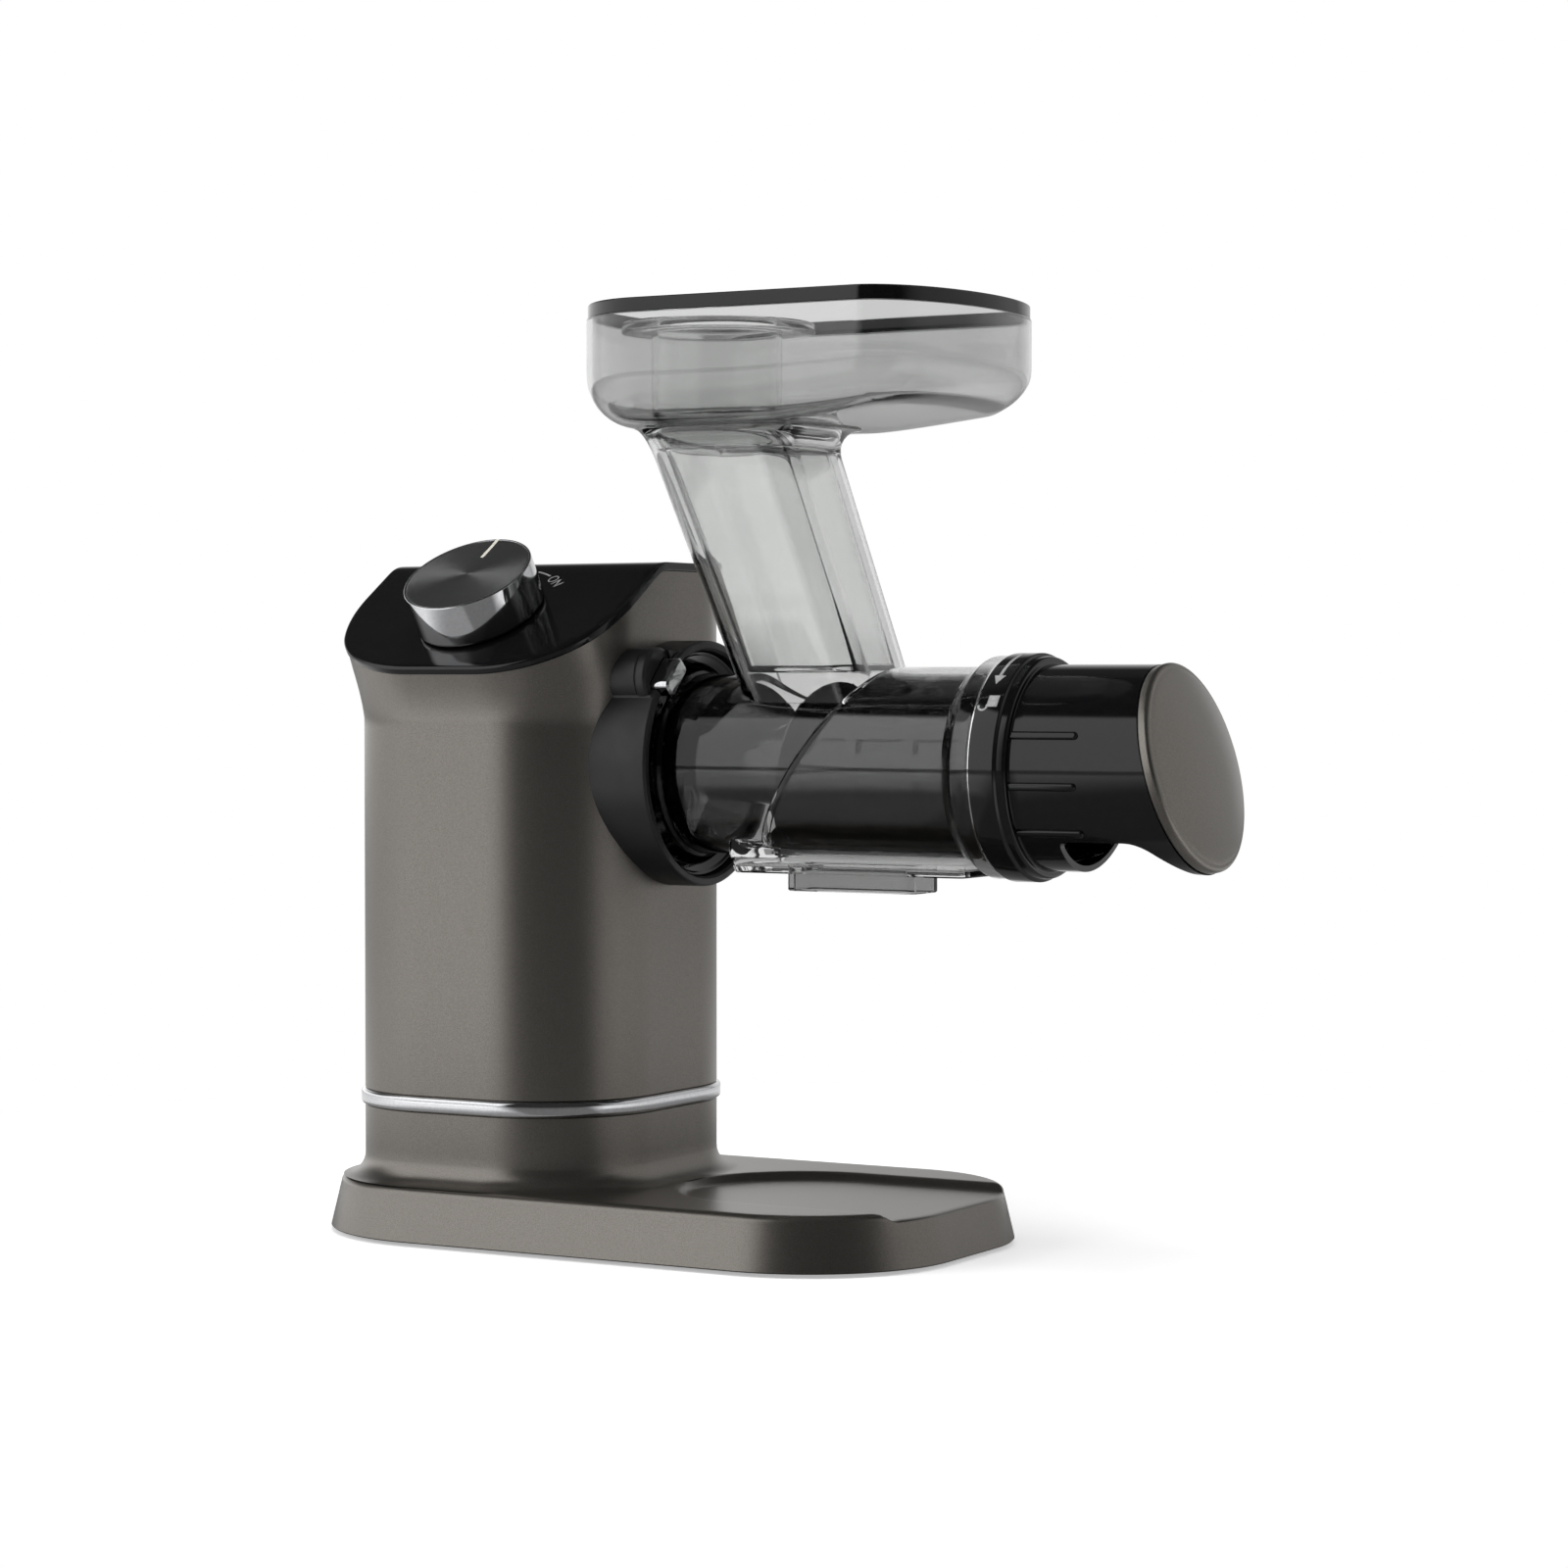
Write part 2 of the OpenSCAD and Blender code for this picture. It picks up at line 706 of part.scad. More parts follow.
module base_shell() {
    placed() color(paint) difference() {
        union() {
            hull() {
                translate([0, 0, shell_z]) linear_extrude(skin) base_plan(0);
                for (s = round_shares)
                    translate([0, 0, base_top - base_edge_r + s[1] * base_edge_r - skin])
                        linear_extrude(skin) base_plan(base_draft + s[0] * base_edge_r);
            }
            translate([0, 0, base_top - base_edge_r]) linear_extrude(band_z - base_top + base_edge_r)
                column_plan(0);
            for (i = [0:len(fillet_shares) - 2]) {
                a = fillet_shares[i] * pedestal_fillet;
                b = fillet_shares[i + 1] * pedestal_fillet;
                hull() {
                    translate([0, 0, base_top + a[1] - skin]) linear_extrude(skin) column_plan(a[0]);
                    translate([0, 0, base_top + b[1] - skin]) linear_extrude(skin) column_plan(b[0]);
                }
            }
        }
        // Cup recess, open over the plate's end
        hull() {
            for (x = [recess_x, base_reach + recess_r]) {
                translate([x, 0, base_top - recess_depth]) cylinder(h = cut, r = recess_r, $fn = 64);
                translate([x, 0, base_top + skin]) cylinder(h = cut, r = recess_r + recess_slope, $fn = 64);
            }
        }
        // Hollow under the plate and up through the pedestal
        difference() {
            translate([0, 0, -cut]) linear_extrude(hollow_top + cut) base_plan(base_wall);
            at_base_screws() cylinder(h = base_top, r = base_boss_r, $fn = 32);
        }
        translate([0, 0, hollow_top - cut]) linear_extrude(band_z - hollow_top + 2 * cut)
            column_plan(-wall);
        translate([0, 0, shell_z - cut]) linear_extrude(cover_top - shell_z + cut)
            base_plan(cover_inset - gap);
        at_base_screws() cylinder(h = cover_top + base_screw_l, r = base_screw_r + run_gap, $fn = 32);
        translate([0, col_hy - wall - cut, cord_z]) rotate([-90, 0, 0])
            cylinder(h = wall + 2 * cut, r = cord_r + snug, $fn = 48);
    }
}

module bottom_cover() {
    placed() color(matte_black) difference() {
        translate([0, 0, foot_h]) linear_extrude(cover_top - foot_h) base_plan(cover_inset);
        at_feet() cylinder(h = cover_top + cut, r = spigot_r + run_gap, $fn = 32);
        at_base_screws() cylinder(h = foot_h + base_head_h, r = base_head_r + snug, $fn = 32);
        at_base_screws() cylinder(h = cover_top + cut, r = base_screw_r + snug, $fn = 32);
    }
}

module rubber_feet() {
    placed() color(rubber) at_feet() {
        cylinder(h = foot_h, r = foot_r, $fn = 48);
        cylinder(h = foot_h + spigot_h, r = spigot_r, $fn = 32);
    }
}

module base_screws() {
    placed() color(steel) at_base_screws() {
        translate([0, 0, foot_h + snug]) cylinder(h = base_head_h - snug, r = base_head_r, $fn = 32);
        translate([0, 0, foot_h + snug]) cylinder(h = base_screw_l, r = base_screw_r, $fn = 32);
    }
}

module trim_band() {
    placed() color(chrome) translate([0, 0, band_z]) linear_extrude(band_h) difference() {
        column_plan(band_proud);
        column_plan(-wall - ledge);
    }
}

module cord_inlet() {
    placed() color(rubber) translate([0, col_hy, cord_z]) rotate([-90, 0, 0]) difference() {
        union() {
            cylinder(h = cord_flange_t, r = cord_flange_r, $fn = 48);
            translate([0, 0, -wall - cord_flange_t]) {
                cylinder(h = wall + cord_flange_t + cut, r = cord_r, $fn = 48);
                cylinder(h = cord_flange_t - gap, r = cord_flange_r, $fn = 48);
            }
        }
        translate([0, 0, -wall - 2 * cord_flange_t])
            cylinder(h = wall + 4 * cord_flange_t, r = cord_hole_r, $fn = 32);
    }
}

module chassis() {
    placed() color(matte_black) translate([0, 0, chassis_z]) linear_extrude(chassis_t) difference() {
        column_plan(-wall - gap);
        for (s = [-1, 1]) translate([0, s * (col_hy - col_r / 2)]) circle(r = wire_hole_r, $fn = 48);
    }
}

module body_housing() {
    placed() color(paint) difference() {
        intersection() {
            column_form(0, body_z);
            under_top(0);
        }
        difference() {
            intersection() {
                translate([0, 0, body_z - cut]) linear_extrude(top_reach - body_z) column_plan(-wall);
                under_top(-top_wall);
            }
            // Bosses for the control board on the back wall
            at_board_screws() translate([0, 0, -wall])
                cylinder(h = board_stand + wall, r = board_boss_r, $fn = 32);
        }
        at_board_screws() cylinder(h = board_stand + cut, r = board_screw_r + run_gap, $fn = 32);
        rod(col_cx, col_r + flare_out, liner_r + gap);
        rod(col_cx, col_r + flare_out, pin_hole_r, -button_y, button_z);
        on_slope(-panel_t - top_wall - cut)
            cylinder(h = top_wall + 2 * cut, r = switch_neck_r + snug, $fn = 48);
    }
}

module top_panel() {
    placed() color(gloss_black) difference() {
        intersection() {
            column_form(panel_lip, flare_z - col_r);
            under_top(panel_t);
        }
        under_top(0);
        translate([-col_d, 0, 0]) cube([2 * col_d, col_w, level_h - rear_r]);
        on_slope(-panel_t - cut) cylinder(h = panel_t + 2 * cut, r = knob_shaft_r + gap, $fn = 48);
    }
}

module rotary_switch() {
    placed() color(matte_black) on_slope(-panel_t - top_wall - snug) difference() {
        union() {
            translate([-switch_w / 2, -switch_w / 2, -switch_h]) cube([switch_w, switch_w, switch_h]);
            cylinder(h = top_wall, r = switch_neck_r, $fn = 48);
        }
        translate([0, 0, -shaft_in_switch])
            cylinder(h = shaft_in_switch + top_wall + cut, r = knob_shaft_r + run_gap, $fn = 48);
    }
}

module at_board_screws() {
    x = board_w / 2 - board_boss_r;
    z = board_h / 2 - board_boss_r;
    for (s = [-1, 1]) for (t = [-1, 1])
        translate([s * x, col_hy - wall, board_z + t * z]) rotate([90, 0, 0]) children();
}

module control_board() {
    placed() color(board_green) difference() {
        translate([0, col_hy - wall - board_stand - board_t, 0]) union() {
            translate([-board_w / 2, 0, board_z - board_h / 2]) cube([board_w, board_t, board_h]);
            for (t = [-1, 1])
                translate([-chip_size[0] / 2, -chip_size[1], board_z + (t - 1 / 2) * chip_size[2]])
                    cube(chip_size + [0, skin, 0]);
        }
        at_board_screws() cylinder(h = board_stand + board_t + cut, r = board_screw_r + snug, $fn = 32);
    }
}

module board_screws() {
    placed() color(steel) at_board_screws() {
        translate([0, 0, gap]) cylinder(h = board_stand + board_t, r = board_screw_r, $fn = 32);
        translate([0, 0, board_stand + board_t]) cylinder(h = board_head_h, r = board_head_r, $fn = 32);
    }
}

module motor_cradle() {
    placed() color(matte_black) difference() {
        for (x = [can_x + cradle_l, plate_x - 2 * cradle_l])
            translate([x, -cradle_half_w, chassis_z + chassis_t])
                cube([cradle_l, 2 * cradle_half_w, motor_z - chassis_z - chassis_t - motor_r / 2]);
        rod(can_x - cut, motor_l + 2 * cut, motor_r + gap, 0, motor_z);
    }
}

module motor_can() {
    placed() color(steel) difference() {
        rod(can_x, motor_l, motor_r, 0, motor_z);
        rod(can_x - cut, motor_l + cut - can_wall, motor_r - can_wall, 0, motor_z);
        rod(can_x, motor_l + cut, rotor_shaft_r + run_gap, 0, motor_z);
    }
}

module motor_end_cap() {
    placed() color(matte_black) difference() {
        union() {
            difference() {
                union() {
                    rod(can_x - end_cap_t, end_cap_t, motor_r - end_cap_in, 0, motor_z);
                    rod(can_x - cut, 2 * cut, motor_r - can_wall - snug, 0, motor_z);
                }
                rod(can_x - end_cap_t + can_wall, end_cap_t + 2 * cut, motor_r - 2 * can_wall, 0, motor_z);
                for (i = [0:vents - 1]) at_vent(i * 360 / vents)
                    rod(can_x - end_cap_t - cut, end_cap_t, vent_r, vent_place, 0);
            }
            rod(can_x - end_cap_t, end_cap_t, 2 * rotor_shaft_r, 0, motor_z);
        }
        rod(can_x - end_cap_t + can_wall, end_cap_t + cut, rotor_shaft_r + run_gap, 0, motor_z);
    }
}

// Turns a vent hole about the motor's axis
module at_vent(a) {
    translate([0, 0, motor_z]) rotate([a, 0, 0]) children();
}

module stator_core() {
    placed() color(steel) pipe(stator_x, stator_l, stator_r, stator_bore, 0, motor_z);
}

module rotor_shaft() {
    x = can_x - end_cap_t + can_wall + gap;
    placed() color(steel) rod(x, lane_one + gear_one_w - x, rotor_shaft_r, 0, motor_z);
}

module rotor_core() {
    placed() color(brass) {
        pipe(stator_x, stator_l, rotor_r, rotor_shaft_r + snug / 2, 0, motor_z);
    }
}

module motor_fan() {
    placed() color(nylon) difference() {
        union() {
            rod(fan_x, fan_disc_t, fan_r, 0, motor_z);
            rod(fan_x, fan_w, rotor_shaft_r * 2, 0, motor_z);
            for (i = [0:fan_blades - 1]) translate([fan_x, 0, motor_z]) rotate([i * 360 / fan_blades, 0, 0])
                translate([0, rotor_shaft_r * 1.5, -fan_blade_t / 2])
                    cube([fan_w, fan_r - rotor_shaft_r * 1.5 - gap, fan_blade_t]);
        }
        rod(fan_x - cut, fan_w + 2 * cut, rotor_shaft_r + snug / 2, 0, motor_z);
    }
}

module motor_pinion() {
    placed() color(steel) difference() {
        along_x(lane_one, gear_one_w) translate([0, motor_z])
            polygon(gear_outline(first_module, pinion_teeth, 90));
        rod(lane_one - cut, gear_one_w + 2 * cut, rotor_shaft_r + snug / 2, 0, motor_z);
    }
}

module first_gear() {
    placed() color(nylon) difference() {
        union() {
            along_x(lane_one, gear_one_w) translate([0, shaft_one_z])
                polygon(gear_outline(first_module, gear_teeth, 270 + 180 / gear_teeth));
            along_x(lane_one + gear_one_w, face_gap + gear_two_w) translate([0, shaft_one_z])
                polygon(gear_outline(second_module, pinion_teeth, 90));
        }
        rod(lane_one - cut, lane_three - lane_one + 2 * cut, pin_r + run_gap, 0, shaft_one_z);
    }
}

module second_gear() {
    placed() color(nylon) difference() {
        union() {
            along_x(lane_two, gear_two_w) translate([0, shaft_two_z])
                polygon(gear_outline(second_module, gear_teeth, 270 + 180 / gear_teeth));
            along_x(lane_two + gear_two_w, face_gap + gear_three_w) translate([0, shaft_two_z])
                polygon(gear_outline(third_module, pinion_teeth, 90));
        }
        rod(lane_two - cut, cover_x - lane_two + 2 * cut, pin_r + run_gap, 0, shaft_two_z);
    }
}

module output_gear() {
    placed() color(steel) difference() {
        along_x(lane_three, gear_three_w) translate([0, axis_z])
            polygon(gear_outline(third_module, output_teeth, 270 + 180 / output_teeth));
        rod(lane_three - cut, gear_three_w + 2 * cut, output_shaft_r + snug / 2);
    }
}

module gear_pins() {
    placed() color(steel) for (z = [shaft_one_z, shaft_two_z])
        rod(plate_x + plate_t - pin_reach, cover_x - plate_x - plate_t + 2 * pin_reach, pin_r, 0, z);
}

// Outline shared by the two gearbox plates
module gearbox_outline(low) {
    translate([-frame_half_w, low]) square([2 * frame_half_w, frame_top - low - post_r]);
    translate([post_r - frame_half_w, low]) square([2 * (frame_half_w - post_r), frame_top - low]);
    for (s = [-1, 1]) translate([s * (frame_half_w - post_r), frame_top - post_r])
        circle(r = post_r, $fn = 32);
}

// Places of the posts between the two plates, clear of the gears
module at_posts() {
    for (p = [[-post_y, post_low_z], [post_y, post_low_z], [-post_y, post_mid_z], [post_y, post_high_z]])
        translate([0, p[0], p[1]]) children();
}

module gearbox_plate() {
    placed() color(steel) difference() {
        along_x(plate_x, plate_t) gearbox_outline(chassis_z + chassis_t);
        rod(plate_x - cut, plate_t + 2 * cut, rotor_shaft_r + gap, 0, motor_z);
        rod(plate_x - cut, plate_t + 2 * cut, bush_r + snug);
        for (z = [shaft_one_z, shaft_two_z]) rod(plate_x - cut, plate_t + 2 * cut, pin_r + snug / 2, 0, z);
        at_posts() rod(plate_x - cut, plate_t + 2 * cut, post_screw_r + snug, 0, 0);
    }
}

module gearbox_cover() {
    placed() color(matte_black) difference() {
        along_x(cover_x, plate_t) gearbox_outline(shaft_one_z - pitch_one);
        rod(cover_x - cut, plate_t + 2 * cut, bush_r + snug);
        for (z = [shaft_one_z, shaft_two_z]) rod(cover_x - cut, plate_t + 2 * cut, pin_r + snug / 2, 0, z);
        rod(cover_x - cut, plate_t + 2 * cut, pin_hole_r, -button_y, button_z);
        at_posts() rod(cover_x - cut, plate_t + 2 * cut, post_screw_r + snug, 0, 0);
    }
}

module gearbox_posts() {
    placed() color(steel) at_posts() pipe(plate_x + plate_t, cover_x - plate_x - plate_t,
                                          post_r, post_screw_r + run_gap, 0, 0);
}

module gearbox_screws() {
    placed() color(steel) at_posts() {
        rod(plate_x - post_head_h, post_head_h, post_head_r, 0, 0);
        rod(plate_x - post_head_h, cover_x + plate_t - plate_x + post_head_h - gap, post_screw_r, 0, 0);
    }
}

module output_shaft() {
    placed() color(steel) rod(plate_x, coupling_x + coupling_l - hex_depth - plate_x, output_shaft_r);
}

module output_bushes() {
    placed() color(brass) for (x = [plate_x, cover_x])
        pipe(x, plate_t, bush_r, output_shaft_r + run_gap);
}

module output_seal() {
    placed() color(rubber) pipe(liner_x + snug, liner_back - snug, seal_r - snug, coupling_r + run_gap);
}

module hex_bar(x, l, af) {
    along_x(x, l) translate([0, axis_z]) circle(r = af / 2 / cos(30), $fn = 6);
}

module drive_coupling() {
    placed() color(steel) difference() {
        rod(coupling_x, coupling_l, coupling_r);
        rod(coupling_x - cut, coupling_l - hex_depth + 2 * cut, output_shaft_r + snug / 2);
        hex_bar(coupling_x + coupling_l - hex_depth, hex_depth + cut, hex_af);
    }
}

module collar_housing() {
    l = collar_x - collar_root;
    placed() color(matte_black) difference() {
        union() {
            rod(collar_root, l, collar_r);
            rod(collar_root, l + boss_x - collar_x, boss_r, -button_y, button_z);
            // Filling between the boss and the ring
            along_x(collar_root, l) polygon([[-button_y - boss_r, button_z],
                [-collar_r * cos(boss_blend), axis_z + collar_r * sin(boss_blend)],
                [0, axis_z], [0, axis_z + collar_r], [-button_y, button_z + boss_r]]);
        }
        rod(collar_root - cut, l + 2 * cut, liner_r + gap);
        column_steps(gap);
        button_pocket();
        rod(collar_root - cut, l, pin_hole_r, -button_y, button_z);
    }
}

// Pocket that the release button slides in
module button_pocket() {
    translate([boss_x - pocket_l, -button_y, button_z]) button_form(pocket_l + cut, button_gap);
}

module button_form(l, grow) {
    w = button_w / 2 + grow;
    rotate([90, 0, 90]) linear_extrude(l) rounded_plan(-w, w, button_hgt / 2 + grow, button_r, button_r);
}

module socket_liner() {
    placed() color(gloss_black) difference() {
        rod(liner_x, liner_front - liner_x, liner_r);
        rod(liner_x + liner_back, liner_front - liner_x, liner_bore);
        rod(lug_x, lug_l + 2 * lug_room, lug_groove_r);
        rod(liner_x - cut, liner_back + 2 * cut, seal_r);
        lugs_at(lug_x + lug_l, liner_front - lug_x, liner_bore - cut, lug_groove_r - snug,
                lug_deg + lug_play_deg, -chamber_turn);
        button_pocket();
    }
}

module interlock_switch() {
    placed() color(matte_black) translate([cover_x - switch_box[0], -button_y - switch_box[1] / 2,
                                           button_z - switch_box[2] / 2]) cube(switch_box);
}

module release_button() {
    placed() color(chrome) difference() {
        translate([boss_x - button_in, -button_y, button_z]) button_form(button_in + button_proud, 0);
        rod(boss_x - button_in - cut, button_bore_l + cut, spring_r + spring_wire / 2 + gap,
            -button_y, button_z);
    }
}

module latch_pin() {
    x = cover_x + button_travel + face_gap;
    placed() color(steel) rod(x, boss_x - button_in + button_bore_l - x, latch_r, -button_y, button_z);
}

module button_spring() {
    rings = spring_curls * spring_rings;
    points = [for (i = [0:rings]) for (k = [0:spring_sides - 1])
        spring_skin(i / rings, k * 360 / spring_sides)];
    sides = [for (i = [0:rings - 1]) for (k = [0:spring_sides - 1])
        let (a = i * spring_sides + k, b = i * spring_sides + (k + 1) % spring_sides)
        each [[a, b, b + spring_sides], [a, b + spring_sides, a + spring_sides]]];
    ends = [[for (k = [0:spring_sides - 1]) spring_sides - 1 - k],
            [for (k = [0:spring_sides - 1]) rings * spring_sides + k]];
    placed() color(steel) polyhedron(points = points, faces = concat(sides, ends));
}

// The half space in front of the slanted step
module past_step(shift) {
    translate([step_x + shift, -col_w, axis_z]) rotate([0, step_lean, 0]) translate([0, 0, -col_w])
        cube([2 * col_w, 2 * col_w, 2 * col_w]);
}

// The half space behind the slanted step
module behind_step(shift) {
    translate([step_x + shift, -col_w, axis_z]) rotate([0, step_lean, 0]) translate([-2 * col_w, 0, -col_w])
        cube([2 * col_w, 2 * col_w, 2 * col_w]);
}

module auger() {
    placed() color(matte_black) difference() {
        union() {
            rod(hub_x, auger_x - hub_x + cut, hub_r);
            rod(auger_x, flight_t, auger_r);
            cone(auger_x + flight_t - cut, auger_end - auger_x - flight_t + cut, core_back_r, core_front_r);
            intersection() {
                translate([auger_x, 0, axis_z]) rotate([0, 90, 0])
                    linear_extrude(auger_end - auger_x, twist = 360 * flight_turns, slices = flight_steps,
                                   $fn = 16)
                        translate([0, -flight_t / 2]) square([auger_r + cut, flight_t]);
                rod(auger_x, auger_end - auger_x, auger_r);
            }
            cone(auger_end - skin, nose_cone_l, nose_cone_r, nose_r);
            rod(auger_end, nose_l, nose_r);
        }
        hex_bar(hub_x - cut, insert_x + insert_l + gap - hub_x + cut, hex_af);
    }
}

module auger_insert() {
    placed() color(steel) hex_bar(insert_x, insert_l, hex_af - 2 * snug);
}

// Middle of the chute at height z
function chute_mid(z) = chute_x + (tray_floor - z) * chute_lean_share;
function chute_scale(z) = chute_foot_share + (1 - chute_foot_share) * (z - chute_low) / chute_h;

module chute_slice(z, inset) {
    k = chute_scale(z);
    hx = chute_l / 2 * k - inset;
    hy = chute_w / 2 * k - inset;
    r = max(chute_r * k - inset, chute_r / 3);
    translate([chute_mid(z), 0, z - skin]) linear_extrude(skin, $fn = 40) rounded_plan(-hx, hx, hy, r, r);
}

module chute_form(z0, z1, inset) {
    hull() {
        chute_slice(z0, inset);
        chute_slice(z1, inset);
    }
}

// Three bayonet lugs, or slots for them, turned by "aim" from the side away from the user
module lugs_at(x, l, r_in, r_out, deg, aim) {
    for (i = [0:lugs - 1]) translate([x, 0, axis_z]) rotate([i * 360 / lugs + aim, 0, 0])
        rotate([90, 0, 90]) rotate(-deg / 2) rotate_extrude(angle = deg)
            translate([r_in, 0]) square([r_out - r_in, l]);
}

module juicing_barrel() {
    placed() color(smoke) difference() {
        union() {
            rod(spigot_x, back_wall_x + back_wall_t - spigot_x, spigot_out);
            lugs_at(lug_x + lug_room, lug_l, spigot_out - cut, lug_groove_r - face_gap, lug_deg, 0);
            rod(back_wall_x, flange_x - back_wall_x + cut, barrel_r);
            intersection() {
                rod(sump_x, flange_x - sump_x + cut, drum_r);
                past_step(-clear_wall);
            }
            translate([sump_x, -sump_w / 2, sump_z])
                cube([flange_x - sump_x + cut, sump_w, axis_z - sump_z]);
            translate([spout_x, -spout_w / 2, spout_z]) cube([spout_l, spout_w, axis_z - spout_z]);
            cone(flange_x, flange_cone, drum_r, flange_r);
            rod(flange_x + flange_cone, barrel_end - flange_x - flange_cone, flange_r);
            rod(barrel_end - cut, neck_l + cut, neck_r);
            lugs_at(neck_lug_x, neck_lug_l, neck_r - cut, neck_lug_r, lug_deg, 0);
            chute_form(chute_low, tray_floor, 0);
        }
        rod(back_wall_x + back_wall_t, neck_end, bore_r);
        rod(spigot_x - cut, back_wall_x - spigot_x + cut, spigot_out - spigot_wall);
        rod(back_wall_x - cut, back_wall_t + 2 * cut, hub_r + gap);
        intersection() {
            rod(sump_x, neck_end, drum_bore);
            past_step(0);
        }
        difference() {
            translate([sump_x + clear_wall, clear_wall - sump_w / 2, sump_z + clear_wall])
                cube([flange_x - sump_x - clear_wall, sump_w - 2 * clear_wall, sump_depth]);
            difference() {
                rod(sump_x, flange_x - sump_x + cut, barrel_r);
                past_step(clear_wall);
            }
        }
        translate([spout_x + clear_wall, clear_wall - spout_w / 2, spout_z - cut])
            cube([spout_l - 2 * clear_wall, spout_w - 2 * clear_wall, spout_h + clear_wall + 2 * cut]);
        chute_form(chute_low, tray_floor + cut, clear_wall);
    }
}

module chamber_seal() {
    placed() color(rubber)
        pipe(back_wall_x - chamber_seal_t, chamber_seal_t, chamber_seal_r, hub_r + run_gap);
}

module strainer_frame() {
    placed() color(matte_black) difference() {
        union() {
            rod(strainer_x, strainer_end - strainer_x, strainer_r);
            rod(strainer_end - cut, pulp_tube_l + cut, pulp_r + pulp_tube_t);
        }
        rod(strainer_x - cut, strainer_end - strainer_x - strainer_face_t + cut, strainer_bore);
        rod(strainer_x, neck_end, pulp_r);
        // Windows that the mesh covers
        for (j = [1:slot_rows]) for (i = [0:slot_count - 1])
            translate([strainer_end - strainer_face_t - slot_gap - j * (slot_l + slot_gap), 0, axis_z])
                rotate([i * 360 / slot_count, 0, 0]) translate([0, -slot_w / 2, strainer_bore - cut])
                    cube([slot_l, slot_w, drum_r]);
        behind_step(gap);
    }
}

module strainer_mesh() {
    placed() color(steel) difference() {
        pipe(strainer_x, strainer_end - strainer_face_t - strainer_x - gap, mesh_r, mesh_r - mesh_t);
        behind_step(gap);
    }
}

module strainer_seal() {
    placed() color(rubber)
        pipe(neck_end, ring_end - shoulder_t - neck_end, neck_r - clear_wall / 2, cap_bore);
}

// The tray's outline: half ellipses at its two ends
function tray_outline(inset) =
    let (hy = tray_w / 2 - inset, a = tray_back_l - inset, b = tray_front_l - inset, n = 14,
         xa = tray_x + tray_back_l, xb = tray_x + tray_l - tray_front_l)
    concat([for (i = [0:n]) let (t = 90 + 180 * i / n) [xa + a * cos(t), hy * sin(t)]],
           [for (i = [0:n]) let (t = -90 + 180 * i / n) [xb + b * cos(t), hy * sin(t)]]);

module tray_form(inset, floor_z, top) {
    edge = tray_edge_r - inset;
    hull() {
        for (s = round_shares) if (s[0] > 0)
            translate([0, 0, floor_z + (1 - s[1]) * edge]) linear_extrude(skin)
                polygon(tray_outline(inset + s[0] * edge));
        translate([0, 0, floor_z + edge]) linear_extrude(top - floor_z - edge) polygon(tray_outline(inset));
    }
}

module feed_tray() {
    placed() color(smoke) difference() {
        union() {
            difference() {
                tray_form(0, tray_floor, tray_rim_z);
                tray_form(tray_wall, tray_floor + tray_wall, tray_rim_z + cut);
            }
            chute_form(tray_floor - skirt_l, tray_floor + cut, clear_wall + gap);
        }
        chute_form(tray_floor - skirt_l - cut, tray_floor + tray_wall + cut, clear_wall + gap + skirt_t);
    }
}

module hopper_rim() {
    placed() color(gloss_black) translate([0, 0, tray_rim_z]) linear_extrude(rim_h) difference() {
        polygon(tray_outline(rim_inset));
        polygon(tray_outline(rim_inset + rim_w));
    }
}

module pusher_stem() {
    neck_z = tray_floor + tray_wall + snug;
    placed() color(smoke) difference() {
        union() {
            chute_form(stem_foot, neck_z + cut, stem_inset);
            translate([pusher_x, 0, neck_z])
                cylinder(h = pusher_top - pusher_cap_t - neck_z, r = pusher_neck_r);
        }
        chute_form(stem_foot + stem_wall, neck_z + stem_wall, stem_inset + stem_wall);
        translate([pusher_x, 0, neck_z + stem_wall - skin])
            cylinder(h = pusher_top, r = pusher_neck_r - stem_wall);
    }
}

module pusher_cap() {
    placed() color(smoke) translate([pusher_x, 0, pusher_top - pusher_cap_t]) difference() {
        cylinder(h = pusher_cap_t, r = pusher_r);
        translate([0, 0, -cut]) cylinder(h = pusher_cap_t + 2 * cut, r = pusher_neck_r - stem_wall);
    }
}

// Everything behind the plane of the end plate, moved back by "shift"
module behind_dome(shift) {
    on_dome() translate([0, 0, shift - 2 * base_reach]) cylinder(h = 2 * base_reach, r = base_reach);
}

// Moves things onto the back of the end plate, with Z out of it
module on_dome() {
    translate([dome_x, 0, axis_z]) rotate([0, 90 - dome_lean, 0]) children();
}

module at_dome_screws() {
    for (s = [-1, 1]) on_dome() translate([0, s * dome_boss_place, 0]) children();
}

